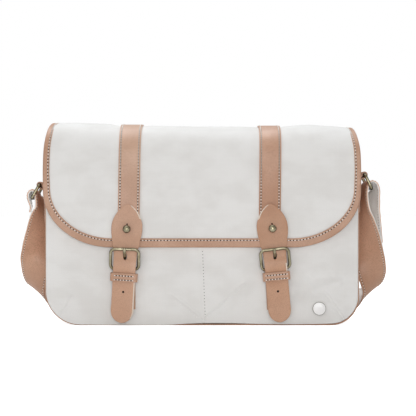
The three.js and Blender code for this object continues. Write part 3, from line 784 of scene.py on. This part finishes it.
# Painted sheen: the left strap is painted paler than the right, where the light from the left catches it, and
# both turn paler towards the top, where light from above glances off them.
strap_sheen_rise = (155 * mm, 230 * mm)
flap_strap_sheen_tones = dict(
    left=leather_finish("left_flap_leather_painted_sheen", (202, 161, 137), (191, 150, 125),
                        upper=((214, 177, 153), (202, 164, 139)), rise=strap_sheen_rise),
    right=leather_finish("right_flap_leather_painted_sheen", (187, 139, 110), (176, 128, 98),
                         upper=((209, 168, 143), (197, 154, 128)), rise=strap_sheen_rise),
)
for side in ("left", "right"):
    def strap_strip(u, v):
        travel = v * flap_strap_end
        across = (1 - 2 * u) * flap_strap_half
        lift = flap_strap_lift - edge_fall * (1 - 2 * u) ** 6 - sunk(across, -flap_strap_row, flap_strap_row)
        return flap_place(strap_middle(side, travel) + across, travel, lift)[0], rows_of(across, travel)

    leather_strip(f"flap_strap_{side}", 56, 230, strap_strip, finish=flap_strap_sheen_tones[side])
    run = np.linspace(row_ends, flap_strap_end - row_ends, 400)
    sewn(f"flap_strap_{side}_stitches", [
        flap_place(strap_middle(side, run) + row, run, flap_strap_lift - flap_strap_sink)
        for row in (-flap_strap_row, flap_strap_row)], cream_thread)


# Buckle chapes: a short tan strap sewn flat to the front under each buckle, looped round the buckle's
# lower bar, with a slot for the prong. Only its edges and its loop show beside the closing strap.
lower_bar = np.array((59.2, 71.0)) * mm
upper_bar = np.array((67.9, 96.2)) * mm
frame_middle = (upper_bar + lower_bar) / 2
bar_z = lower_bar[1] / mm
buckle_z = frame_middle[1] / mm
# Where each piece of a closure sits: x and z in mm, and its turn in degrees seen from the front
closures = (
    dict(side="left", strap=(-93.6, 121.4, 3.5), buckle=(-96.4, buckle_z, 1.5),
         chape=(-96.6, bar_z, 0.0), keeper=(-97.4, 61.0, 3.5)),
    dict(side="right", strap=(87.7, 122.0, -5.2), buckle=(91.2, buckle_z, -6.5),
         chape=(92.0, bar_z, -3.0), keeper=(92.9, 62.4, -5.2)),
)
chape_half = 13.2 * mm
chape_wall = 1.6 * mm
chape_loop = 4.6 * mm
chape_front = np.array(((54.9, 20.6), (55.9, 36), (56.7, 48), (58.2, 55))) * mm
chape_rear = np.array(((54.6, 67), (54.4, 58))) * mm
chape_slot = np.array((4.4, 16.0, 13.9)) * mm
chape_slot_middle = 73.05 * mm


def turned(points, x, z, degrees):
    """Turns points as seen from the front, and sets them at x and z in mm."""
    angle = radians(degrees)
    across, y, up = np.asarray(points).T
    return rows_of(x * mm + across * np.cos(angle) + up * np.sin(angle), y,
                   z * mm - across * np.sin(angle) + up * np.cos(angle))


def round_bar(bar, radius, first, last):
    """Points on a bend round a bar, between two angles in degrees."""
    turn = np.radians(np.linspace(first, last, 40))
    return bar + radius * rows_of(np.cos(turn), np.sin(turn))


def thickened(piece, wall, edge=0.3 * mm, rim=0):
    """Gives a leather sheet its thickness, with softened cut edges."""
    piece.data.materials.append(None)
    piece.data.materials.append(None)
    walled(piece, wall, rim)
    worked(piece, "BEVEL", width=edge, segments=2, limit_method="ANGLE", angle_limit=radians(50))
    bpy.ops.object.shade_smooth_by_angle(angle=radians(40))


def block(size, place, degrees):
    """A block to cut with, turned as seen from the front."""
    bpy.ops.mesh.primitive_cube_add(size=1.0, location=place, rotation=(0, radians(degrees), 0))
    bpy.context.object.scale = size
    return bpy.context.object


def pierced(piece, cutters):
    """Cuts each cutter out of a piece."""
    for cutter in cutters:
        worked(piece, "BOOLEAN", operation="DIFFERENCE", solver="EXACT", material_mode="TRANSFER",
               object=cutter)
        bpy.data.objects.remove(cutter)


chape_arc = round_bar(lower_bar, chape_loop, -75, 200)
chape_line, chape_travel = through(np.vstack([chape_front, chape_arc, chape_rear]), 160, measured=2)
for closure in closures:
    x, z, turn = closure["chape"]

    def chape_strip(u, v):
        across = (2 * u - 1) * chape_half
        travel = v * chape_travel[-1]
        depth, up = looked_up(travel, chape_travel, chape_line).T
        return turned(rows_of(across, -depth, up - lower_bar[1]), x, z, turn), rows_of(across, travel)

    chape = laid_sheet(f"buckle_chape_{closure['side']}_leather", 12, 150, chape_strip)
    thickened(chape, chape_wall)
    pierced(chape, [block(chape_slot, (x * mm, -lower_bar[0], chape_slot_middle), turn)])
    fitted(chape, "leather", [leather], f"buckle_chape_{closure['side']}")


# Buckle frames: bent from round wire of antique brass, with rounded corners, tipped so that the upper
# bar stands out over the closing strap.
frame_width = 35.3 * mm
frame_height = np.hypot(*(upper_bar - lower_bar))
frame_corner = 6 * mm
frame_tilt = np.arctan2(*(upper_bar - lower_bar))
frame_wire = 1.85 * mm


def rounded_loop(width, height, corner, corner_steps=12, side_steps=10):
    """Closed line on a rectangle with round corners, as (across, up), without its last point."""
    line = []
    for quarter, (side_x, side_z) in enumerate(((1, 1), (-1, 1), (-1, -1), (1, -1))):
        turn = (quarter + np.linspace(0, 1, corner_steps)) * pi / 2
        line.append(rows_of(side_x * (width / 2 - corner) + corner * np.cos(turn),
                            side_z * (height / 2 - corner) + corner * np.sin(turn)))
    share = np.linspace(0, 1, side_steps, endpoint=False)[1:, None]
    loop = []
    for k in range(4):
        after = line[(k + 1) % 4][0]
        loop.extend([line[k], line[k][-1] * (1 - share) + after * share])
    return np.vstack(loop)


def joined_up(piece):
    """Merges the seam and the poles of a swept or turned shape, and points its faces outwards."""
    chosen(piece)
    bpy.ops.object.mode_set(mode="EDIT")
    bpy.ops.mesh.select_all(action="SELECT")
    bpy.ops.mesh.remove_doubles(threshold=0.02 * mm)
    bpy.ops.mesh.normals_make_consistent(inside=False)
    bpy.ops.object.mode_set(mode="OBJECT")


def nearest(v, table):
    """The row of a table that is nearest to a share of its length."""
    return np.rint(v * (len(table) - 1)).astype(int)


def bent_wire(name, path, across, wide, thick, closed, sides=16):
    """A wire of oval section along a flat path; across is square to the path's plane."""
    if closed:
        ahead = np.roll(path, -1, axis=0) - np.roll(path, 1, axis=0)
        path = np.vstack([path, path[:1]])
        ahead = np.vstack([ahead, ahead[:1]])
        taper = np.ones(len(path))
    else:
        ahead = np.gradient(path, axis=0)
        travel = run_along(path)
        to_end = np.minimum(travel, travel[-1] - travel)
        taper = np.sqrt(np.clip(1 - (1 - np.clip(to_end / thick, 0, 1)) ** 2, 0, 1))
    across = np.broadcast_to(np.asarray(across, float), path.shape)
    out = np.cross(unit(ahead), across)

    def wire_skin(u, v):
        row = nearest(v, path)
        turn = 2 * pi * np.rint(u * sides) / sides
        section = across[row] * (wide * np.cos(turn))[:, None] + out[row] * (thick * np.sin(turn))[:, None]
        return path[row] + taper[row][:, None] * section, rows_of(u, v)

    piece = laid_sheet(name, sides, len(path) - 1, wire_skin)
    joined_up(piece)
    return piece


def brass_finish():
    """Antique brass with a mottled patina: bright where it faces the viewer, with painted shade and dark
    painted reflection where its surface turns away.
    """
    material, tree, place = new_material("antique_brass")
    patina = spread(tree, spots(tree, place["Object"], 110.0, 3.0), 0.35, 0.7)
    specks = spread(tree, spots(tree, place["Object"], 1400.0), 0.5, 0.8)
    dull = step(tree, "MULTIPLY", step(tree, "ADD", patina, step(tree, "MULTIPLY", specks, 0.5)), 0.6)
    rubbed = between(tree, dull, linear((188, 180, 152)), linear((132, 122, 92)))
    # Painted shade and reflection: the wire darkens towards a near-black brown where its surface turns away
    # from the view, giving it dark outlines.
    painted_edge_shade = spread(tree, added(tree, "LayerWeight", {"Blend": 0.5})["Facing"], 0.2, 0.72)
    return shaded(material, {
        "Base Color": between(tree, painted_edge_shade, rubbed, linear((40, 34, 23))),
        "Roughness": step(tree, "MULTIPLY_ADD", dull, 0.2, 0.26),
        "Metallic": 1.0,
        "Normal": raised(tree, specks, 0.12, 0.1 * mm),
    })


brass = brass_finish()


def buckle_wires(part, flat, square, wide, thick, closed):
    """Bends a wire for each buckle from its path as it lies straight, and the way square to that."""
    for closure in closures:
        x, z, turn = closure["buckle"]
        node = f"buckle_{part}_{closure['side']}"
        wire = bent_wire(f"{node}_brass", turned(flat, x, z, turn), turned([square], 0, 0, turn)[0],
                         wide, thick, closed)
        fitted(wire, "antique_brass", [brass], node)


across, up = rounded_loop(frame_width, frame_height, frame_corner).T
frame_flat = rows_of(across, -frame_middle[0] - up * np.sin(frame_tilt), up * np.cos(frame_tilt))
frame_square = (0, -np.cos(frame_tilt), -np.sin(frame_tilt))
buckle_wires("frame", frame_flat, frame_square, frame_wire, frame_wire, closed=True)


# Buckle prongs: a flattened brass wire bent once round the lower bar, up through the closing strap's
# hole and over the front of the upper bar.
prong_loop = 3.3 * mm
prong_wide = 1.75 * mm
prong_thick = 1.1 * mm
prong_rise = np.array((
    (61, 75.5), (61.1, 80), (62.4, 84.2), (65.8, 87.7), (70.1, 92.5), (71.5, 97.8),
)) * mm
prong_arc = round_bar(lower_bar, prong_loop, 20, -280)
depth, up = through(np.vstack([prong_arc[:-1], prong_rise]), 110, measured=2)[0].T
prong_flat = rows_of(0, -depth, up - frame_middle[1])
buckle_wires("prong", prong_flat, (1, 0, 0), prong_wide, prong_thick, closed=False)


# Strap keepers: a band of thin tan leather round each closing strap and chape, with two rows of cream
# stitches across its front.
keeper_width = 34 * mm
keeper_height = 10.4 * mm
keeper_wall = 1.4 * mm
keeper_depth = 13.3 * mm
keeper_middle = 60.95 * mm
keeper_corner = 3.2 * mm
keeper_rows = (1.9 * mm, -3.3 * mm)
keeper_pull = 5 * mm
thread_sink = 0.2 * mm
keeper_line = rounded_loop(keeper_width, keeper_depth, keeper_corner, side_steps=24)
keeper_line = np.vstack([keeper_line, keeper_line[:1]])
keeper_run = np.linspace(-15, 15, 40) * mm
keeper_face = keeper_middle + keeper_depth / 2 - thread_sink
for closure in closures:
    def keeper_band(u, v):
        row = nearest(v, keeper_line)
        up = (2 * u - 1) * keeper_height / 2
        across, depth = keeper_line[row].T
        pull = sunk(up, *keeper_rows) * share_of(depth, 0, keeper_pull)
        flat = rows_of(across, -(keeper_middle + depth - pull), up)
        return turned(flat, *closure["keeper"]), rows_of(row * mm, up)

    keeper = laid_sheet(f"strap_keeper_{closure['side']}_leather", 30, len(keeper_line) - 1, keeper_band)
    joined_up(keeper)
    thickened(keeper, keeper_wall, edge=0.25 * mm)
    fitted(keeper, "leather", [leather], f"strap_keeper_{closure['side']}")
    keeper_runs = []
    for row in keeper_rows:
        flat = rows_of(keeper_run, -keeper_face, row)
        keeper_runs.append((turned(flat, *closure["keeper"]), (0, -1, 0)))
    sewn(f"strap_keeper_{closure['side']}_stitches", keeper_runs, cream_thread)


# Closing straps: each is cut from one piece of tan leather with pale raw edges: an oval head that is
# buttoned on a stud, a neck, and a long tail that runs through the buckle and the keeper.
# Rows from the tip of the head: rise from the stud, half width and depth in mm
closing_rows = np.array((
    (31, 1.2, 62.7), (28, 6, 62.7), (23, 11, 62.7), (16, 15.6, 62.7), (8, 18.6, 62.7), (1, 19.3, 62.7),
    (-7, 18.8, 62.7), (-15, 17.2, 62.7), (-23, 16, 62.7), (-28, 14.7, 62.7), (-35, 14.2, 62.9),
    (-42, 14, 64.3), (-50, 14, 64.3), (-55, 14, 63.3), (-61, 14, 61.4), (-68, 14, 59.8), (-78, 14, 58.6),
    (-92, 14, 57.6), (-104, 14, 57.1), (-110, 12.2, 56.9), (-114, 9, 56.8), (-116.6, 5, 56.7),
    (-117.8, 1.2, 56.6),
)) * mm
closing_wall = 2.2 * mm
closing_fall = 0.3 * mm
closing_line, closing_travel = through(closing_rows, 220)
closing_gaps = (
    dict(rise=-34.4 * mm, radius=2.4 * mm, stretch=1.85, depth=24 * mm),
    dict(rise=-78.9 * mm, radius=1.5 * mm, stretch=1.0, depth=3.4 * mm),
    dict(rise=5.9 * mm, radius=0.9 * mm, stretch=1.2, depth=3.4 * mm),
)
slit_size = np.array((1.0, 3.4, 6.4)) * mm
slit_middle = 3.2 * mm
# Cut edges that show from the front: side, with plus for the right one, and highest and lowest rise in mm
pale_edges = dict(
    left=((1, 29.5, 13.0), (1, -57.0, -112.0)),
    right=((-1, 30.0, 12.0), (1, -44.0, -56.0)),
)
pale_reach = 1.4 * mm


def cut_edge_finish():
    """Raw cut edge of the leather: pale, fibrous and matt."""
    material, tree, place = new_material("pale_cut_edge")
    fibre = spots(tree, place["Object"], 1800.0, 3.0)
    return shaded(material, {
        "Base Color": between(tree, fibre, linear((216, 196, 178)), linear((240, 228, 214))),
        "Roughness": 0.85,
        "Normal": raised(tree, fibre, 0.3, 0.2 * mm),
    })


def closing_face(rise, closure):
    """The point in the middle of a closing strap's outer face, at a rise from its stud."""
    depth = np.interp(-rise, -closing_rows[:, 0], closing_rows[:, 2]) + closing_wall
    return turned([(0, -depth, rise)], *closure["strap"])[0]


cut_edge = cut_edge_finish()
# Painted light: each closing strap's tail is painted paler and its head deeper, making up for the shade on
# the tail under the buckle and the highlight on the head. The right strap's leather is deeper than the
# left's.
closing_tones_painted_light = dict(
    left=leather_finish("left_closing_leather_painted_light", (212, 169, 142), (201, 156, 127),
                        upper=((200, 157, 130), (189, 144, 115))),
    right=leather_finish("right_closing_leather_painted_light", (203, 157, 127), (191, 144, 113),
                         upper=((191, 143, 111), (179, 130, 98))),
)
for closure in closures:
    x, z, lean = closure["strap"]
    tone = closing_tones_painted_light[closure["side"]]

    def closing_strip(u, v):
        row = nearest(v, closing_line)
        rise, half, depth = closing_line[row].T
        across = (1 - 2 * u) * half
        flat = rows_of(across, -(depth + closing_wall - closing_fall * (1 - 2 * u) ** 8), rise)
        return turned(flat, x, z, lean), rows_of(across, closing_travel[row])

    closing = laid_sheet(f"closing_strap_{closure['side']}_leather", 36, len(closing_line) - 1, closing_strip)
    thickened(closing, closing_wall, edge=0.35 * mm, rim=1)
    faces = closing.data.polygons
    finish = np.empty(len(faces), dtype=np.int32)
    faces.foreach_get("material_index", finish)
    middles = np.empty(len(faces) * 3)
    faces.foreach_get("center", middles)
    across, _, rise = turned(middles.reshape(-1, 3) - np.array((x, 0, z)) * mm, 0, 0, -lean).T
    half = np.interp(-rise, -closing_line[:, 0], closing_line[:, 1])
    for side, high, low in pale_edges[closure["side"]]:
        finish[(half - side * across < pale_reach) & (rise < high * mm) & (rise > low * mm)] = 1
    faces.foreach_set("material_index", finish)
    closing.data.materials[0] = tone
    closing.data.materials[1] = cut_edge
    cutters = []
    for gap in closing_gaps:
        bpy.ops.mesh.primitive_cylinder_add(vertices=24, radius=gap["radius"], depth=gap["depth"],
                                            location=closing_face(gap["rise"], closure),
                                            rotation=(pi / 2, 0, 0))
        bpy.context.object.scale = (1, gap["stretch"], 1)
        cutters.append(bpy.context.object)
    cutters.append(block(slit_size, closing_face(slit_middle, closure), lean))
    # The cutters' walls take the painted hole shade, so the holes show as dark pits of painted shadow.
    for cutter in cutters:
        cutter.data.materials.append(painted_hole_shade)
    pierced(closing, cutters)
    fitted(closing, "leather", [tone, cut_edge, painted_hole_shade], f"closing_strap_{closure['side']}")


# Studs: turned brass ball studs, screwed through the flap and its strap, that the heads button over.
# Their outline is given as radius and depth in mm, from the foot to the top of the ball.
stud_profile = np.array((
    (0, 62.0), (2.0, 62.0), (2.0, 64.6), (4.0, 65.2), (4.1, 65.7), (3.7, 66.2), (2.5, 66.7), (2.3, 67.2),
    (3.1, 67.7), (4.2, 68.5), (4.8, 69.8), (4.9, 70.6), (4.5, 72.1), (3.6, 73.3), (2.2, 74.1), (0.9, 74.4),
    (0, 74.4),
)) * mm


def lathed(name, profile, steps, sides, place):
    """A shape turned about an axis to the front, from radius and depth, set at x and z with a turn."""
    line, _ = through(profile, steps, measured=2)

    def skin(u, v):
        radius, depth = np.clip(line[nearest(v, line)], 0, None).T
        turn = 2 * pi * u
        return turned(rows_of(radius * np.cos(turn), -depth, radius * np.sin(turn)), *place), rows_of(u, v)

    piece = laid_sheet(name, sides, steps, skin)
    joined_up(piece)
    return piece


for closure in closures:
    stud = lathed(f"stud_{closure['side']}_brass", stud_profile, 70, 32, closure["strap"])
    fitted(stud, "antique_brass", [brass], f"stud_{closure['side']}")


# Ring tabs: a wide tan leather tab sewn to the gusset high on each side and looped round the upper
# bar of the side ring.
fittings = (
    dict(side="left", sign=-1, upper=np.array((207.6, 177.0)) * mm, lower=np.array((217.2, 160.0)) * mm),
    dict(side="right", sign=1, upper=np.array((207.6, 190.0)) * mm, lower=np.array((216.4, 172.4)) * mm),
)
tab_half = 17 * mm
tab_length = 48 * mm
tab_loop = 4.2 * mm
tab_wall = 1.8 * mm
tab_face = 201.6 * mm
tab_row = 14.4 * mm
# Heights on the tab: above its foot to the cross row and to a point on its flat, and below the bar
tab_cross_row = 3 * mm
tab_flat = 20 * mm
tab_below_bar = 9 * mm
tab_cross_sink = 0.05 * mm
for fitting in fittings:
    sign = fitting["sign"]
    bar = fitting["upper"]
    foot = bar[1] - tab_length
    tab_front = [(tab_face, foot), (tab_face, foot + tab_flat), (tab_face, bar[1] - tab_below_bar)]
    tab_rear = [(tab_face - 0.1 * mm, bar[1] - 3.2 * mm)]
    tab_arc = round_bar(bar, tab_loop, -75, 195)
    tab_line, tab_travel = through(np.vstack([tab_front, tab_arc, tab_rear]), 130, measured=2)

    def tab_strip(u, v):
        across = (2 * u - 1) * tab_half * sign
        travel = v * tab_travel[-1]
        outward, up = looked_up(travel, tab_travel, tab_line).T
        points = rows_of(sign * (outward - sunk(across, -tab_row, tab_row)), across, up)
        return points, rows_of(across, travel)

    tab = laid_sheet(f"ring_tab_{fitting['side']}_leather", 60, 105, tab_strip)
    thickened(tab, tab_wall)
    fitted(tab, "leather", [leather], f"ring_tab_{fitting['side']}")
    tab_up = np.linspace(foot + tab_cross_row, bar[1] - tab_below_bar, 30)
    tab_across = np.linspace(-tab_row, tab_row, 30)
    tab_rows = [rows_of(sign * (tab_face - thread_sink), row, tab_up) for row in (-tab_row, tab_row)]
    tab_rows.append(rows_of(sign * (tab_face - tab_cross_sink), tab_across, foot + tab_cross_row))
    sewn(f"ring_tab_{fitting['side']}_stitches", [(row, (sign, 0, 0)) for row in tab_rows], cream_thread)


# Side rings: rectangular rings of round antique-brass wire that join the tabs to the shoulder strap.
# Each hangs down and outwards from its tab, held by the strap's weight.
ring_wire = 2 * mm
ring_inside = 40 * mm
ring_corner = 5 * mm
for fitting in fittings:
    sign = fitting["sign"]
    middle = (fitting["upper"] + fitting["lower"]) / 2
    drop = fitting["upper"] - fitting["lower"]
    ring_height = np.hypot(*drop)
    ring_up = drop / ring_height
    across, up = rounded_loop(ring_inside + 2 * ring_wire, ring_height, ring_corner).T
    ring_path = rows_of(sign * (middle[0] + up * ring_up[0]), across, middle[1] + up * ring_up[1])
    square = (sign * ring_up[1], 0.0, -ring_up[0])
    ring = bent_wire(f"side_ring_{fitting['side']}_brass", ring_path, square, ring_wire, ring_wire,
                     closed=True)
    fitted(ring, "antique_brass", [brass], f"side_ring_{fitting['side']}")


# Shoulder strap: tan leather outside and cream suede leather inside, glued back to back and sewn along
# both edges. It folds round each side ring, hangs down beside the bag and goes round behind it.
strap_half = 19 * mm
strap_outer_wall = 1.6 * mm
strap_lining_wall = 1.3 * mm
strap_half_wall = 1.5 * mm
strap_row = 16.4 * mm
strap_ends = 4 * mm
# Stations from the free end of the fold: outwards, back and up in mm, and the turn of the front edge
strap_rows = dict(
    left=((221.8, 0.5, 143, -7), (220.6, 0.3, 149, -6), (222.1, 0, 155.5, -3.5), (223.4, 0, 162, -2),
          (221.6, 0, 167.8, -1), (217.4, 0, 170.2, 0), (213.2, 0, 167.4, 1), (211.4, 0, 160, 5),
          (210.3, 3, 150, 13), (211.5, 5.3, 137, 28.2), (214.1, 8.6, 121, 37.2),
          (216.5, 12.3, 105, 48), (217.3, 15.1, 90, 64.8), (217.5, 16.3, 76.1, 97)),
    right=((218.1, 16.8, 104, 53), (217.7, 13.8, 121, 46), (219, 8, 145, 30), (222.3, 2.5, 162, 16),
           (223.6, 0.3, 171.5, 8), (221.2, 0, 178.7, 7), (216.3, 0, 181.3, 7), (211.5, 0, 178.7, 7),
           (209, 0, 171.5, 8), (208.2, 1.5, 161, 11), (209.2, 6, 145, 20), (211.4, 8, 131, 33),
           (214, 10, 117, 43.5), (216.4, 12, 101.4, 54), (218.2, 14.5, 87, 66.5), (219.7, 16.2, 74, 83)),
)
# Bend round the back: its radius and start in mm, and the turn in degrees from which it is followed
wrap_radius = 28.0
wrap_first = 66.0
wrap_start = dict(left=(223.7, 16.1, 85.3), right=(226.8, 9.4, 84.6))
back_bow = 4.0


def strap_stations(side, sign):
    """Places in mm and directions across the strap, on one side of the bag."""
    slant = 0.5 ** 0.5
    stations = []
    for x, y, z, twist in strap_rows[side]:
        stations.append((sign * x, y, z, sign * np.sin(radians(twist)), -np.cos(radians(twist)), 0.0))
    x, y, z = wrap_start[side]
    for turn in np.radians(np.linspace(wrap_first, 180, 6)):
        along = wrap_radius * turn
        outward = wrap_radius * np.sin(turn)
        backward = wrap_radius * (1 - np.cos(turn))
        stations.append((
            sign * (x - slant * (along - outward)), y + backward, z - slant * (along + outward),
            sign * (1 + np.cos(turn)) / 2, np.sin(turn) * slant, (1 - np.cos(turn)) / 2))
    return np.array(stations)


left_stations = strap_stations("left", -1)
right_stations = strap_stations("right", 1)[::-1]
behind = (left_stations[-1] + right_stations[0]) / 2
behind[1] += back_bow
strap_line, strap_travel = through(np.vstack([left_stations, [behind], right_stations]), 700)
strap_place = strap_line[:, :3] * mm
strap_travel = strap_travel * mm
strap_ahead = unit(np.gradient(strap_place, axis=0))
strap_out = unit(np.cross(strap_ahead, strap_line[:, 3:]))
strap_across = np.cross(strap_out, strap_ahead)


def on_strap(travel, across, lift):
    """Points beside the strap's middle line and the way out of its lining."""
    place, sideways, out = [looked_up(travel, strap_travel, table)
                            for table in (strap_place, strap_across, strap_out)]
    return place + sideways * np.reshape(across, (-1, 1)) + out * np.reshape(lift, (-1, 1)), out


def strap_face(face):
    """One face of the strap; minus one is the leather, plus one the lining."""
    def strip(u, v):
        across = (1 - 2 * u) * strap_half * face
        travel = v * strap_travel[-1]
        sink = edge_fall * (1 - 2 * u) ** 8 + sunk(across, -strap_row, strap_row)
        return on_strap(travel, across, face * (strap_half_wall - sink))[0], rows_of(across, travel)
    return strip


def suede_finish():
    """Cream suede leather: soft, matt and napped."""
    material, tree, place = new_material("cream_suede")
    nap = spots(tree, place["Object"], 1500.0, 4.0)
    brushed = spread(tree, spots(tree, place["Object"], 60.0, 3.0), 0.35, 0.65)
    fine = step(tree, "MULTIPLY", step(tree, "ADD", nap, brushed), 0.5)
    return shaded(material, {
        "Base Color": between(tree, fine, linear((240, 233, 226)), linear((252, 248, 244))),
        "Roughness": step(tree, "MULTIPLY_ADD", brushed, 0.08, 0.86),
        "Sheen Weight": 1.0,
        "Sheen Roughness": 0.4,
        "Normal": raised(tree, nap, 0.3, 0.2 * mm),
    })


# Painted light: the strap's leather turns much paler up towards the side rings, making up for the shade that
# falls on it there beside the bag.
strap_leather = leather_finish("strap_leather", (205, 161, 133), (192, 147, 119),
                               upper=((242, 202, 174), (230, 188, 160)))
strap_layers = (
    ("shoulder_strap_leather", -1, strap_outer_wall, strap_leather),
    ("shoulder_strap_lining", 1, strap_lining_wall, suede_finish()),
)
for name, face, wall, finish in strap_layers:
    layer = laid_sheet(name, 44, 540, strap_face(face))
    thickened(layer, wall, edge=0.25 * mm)
    fitted(layer, "strap_leather", [finish], "shoulder_strap")

strap_run = np.linspace(strap_ends, strap_travel[-1] - strap_ends, 1400)
strap_runs = []
for row in (-strap_row, strap_row):
    for face in (1, -1):
        points, out = on_strap(strap_run, row, face * (strap_half_wall - thread_sink))
        strap_runs.append((points, out * face))
sewn("shoulder_strap_stitches", strap_runs, cream_thread, slot="strap_leather", width=1.05 * mm,
     hole=0.6 * mm)


# Round badge: a small domed disc with a thin metal-grey rim and a bare white enamel face, pinned low
# on the right of the front. Its place is x and z in mm, its outline radius and depth in mm.
badge_place = (147.0, 21.3)
badge_profile = np.array((
    (0, 51.6), (7.7, 51.6), (8.4, 52.4), (8.45, 53.2), (8.25, 53.7), (8.0, 53.8), (7.8, 53.55),
    (7.65, 53.5), (5.0, 53.95), (2.5, 54.15), (0, 54.2),
)) * mm
badge_rim = (7.6 * mm, 7.9 * mm)


def badge_finish():
    """White enamel inside a grey metal rim, told apart by the distance from the disc's middle."""
    material, tree, place = new_material("badge_enamel")
    x, z = badge_place
    centred = added(tree, "Mapping", {"Vector": place["Object"], "Location": (-x * mm, 0.0, -z * mm),
                                      "Scale": (1.0, 0.0, 1.0)})[0]
    reach = added(tree, "VectorMath", {0: centred}, operation="LENGTH")["Value"]
    rim = spread(tree, reach, *badge_rim)
    cloud = spots(tree, place["Object"], 120.0)
    enamel = between(tree, cloud, linear((246, 243, 241)), linear((252, 250, 248)))
    return shaded(material, {
        "Base Color": between(tree, rim, enamel, linear((160, 157, 150))),
        "Metallic": step(tree, "MULTIPLY", rim, 0.8),
        "Roughness": step(tree, "MULTIPLY_ADD", rim, 0.15, 0.2),
    })


badge = lathed("round_badge_enamel", badge_profile, 60, 64, (*badge_place, 0.0))
fitted(badge, "badge_enamel", [badge_finish()], "round_badge")


# Studio: a plain white floor and soft light. A large lamp stands in front, a smaller one up on the left,
# a cool one hangs above and a little behind, and white surroundings fill the rest.
floor_size = 40.0
paper_glow = 0.9
seen_white = 1.0
filling_white = 0.3
white = (1.0, 1.0, 1.0, 1.0)
bpy.ops.mesh.primitive_plane_add(size=floor_size, location=(0, 0, 0))
floor = bpy.context.object
floor.name = "studio_floor"
paper, tree, place = new_material("white_paper")
paper_tone = spots(tree, place["Object"], 3.0)
seen = added(tree, "LightPath", {})["Is Camera Ray"]
floor.data.materials.append(shaded(paper, {
    "Base Color": between(tree, paper_tone, linear((250, 250, 250)), linear((253, 253, 253))),
    "Roughness": 0.9,
    "Specular IOR Level": 0.0,
    "Emission Color": white,
    "Emission Strength": step(tree, "MULTIPLY", seen, paper_glow),
}))


def lamp(name, place, aim, size, power, colour=(1.0, 1.0, 1.0)):
    """A square soft lamp that faces a point."""
    light = bpy.data.lights.new(name, "AREA")
    light.size = size
    light.energy = power
    light.color = colour
    holder = bpy.data.objects.new(name, light)
    bpy.context.scene.collection.objects.link(holder)
    holder.location = place
    east, north, up = np.subtract(aim, place)
    holder.rotation_euler = (np.arctan2(np.hypot(east, north), -up), 0, np.arctan2(-east, north))


lamp("front_lamp", (0.1, -2.4, 0.2), (0, 0, 0.12), 1.2, 24.6)
lamp("key_lamp", (-1.1, -1.5, 1.2), (0, 0, 0.12), 0.8, 3.5)
lamp("top_lamp", (-0.1, 0.28, 1.3), (0, 0, 0.2), 1.2, 13.6, (0.92, 0.96, 1.0))

surroundings = bpy.data.worlds.new("white_surroundings")
surroundings.use_nodes = True
tree = surroundings.node_tree
seen = added(tree, "LightPath", {})["Is Camera Ray"]
level = step(tree, "MULTIPLY_ADD", seen, seen_white - filling_white, filling_white)
fed(tree, tree.nodes["Background"], {"Color": white, "Strength": level})
bpy.context.scene.world = surroundings
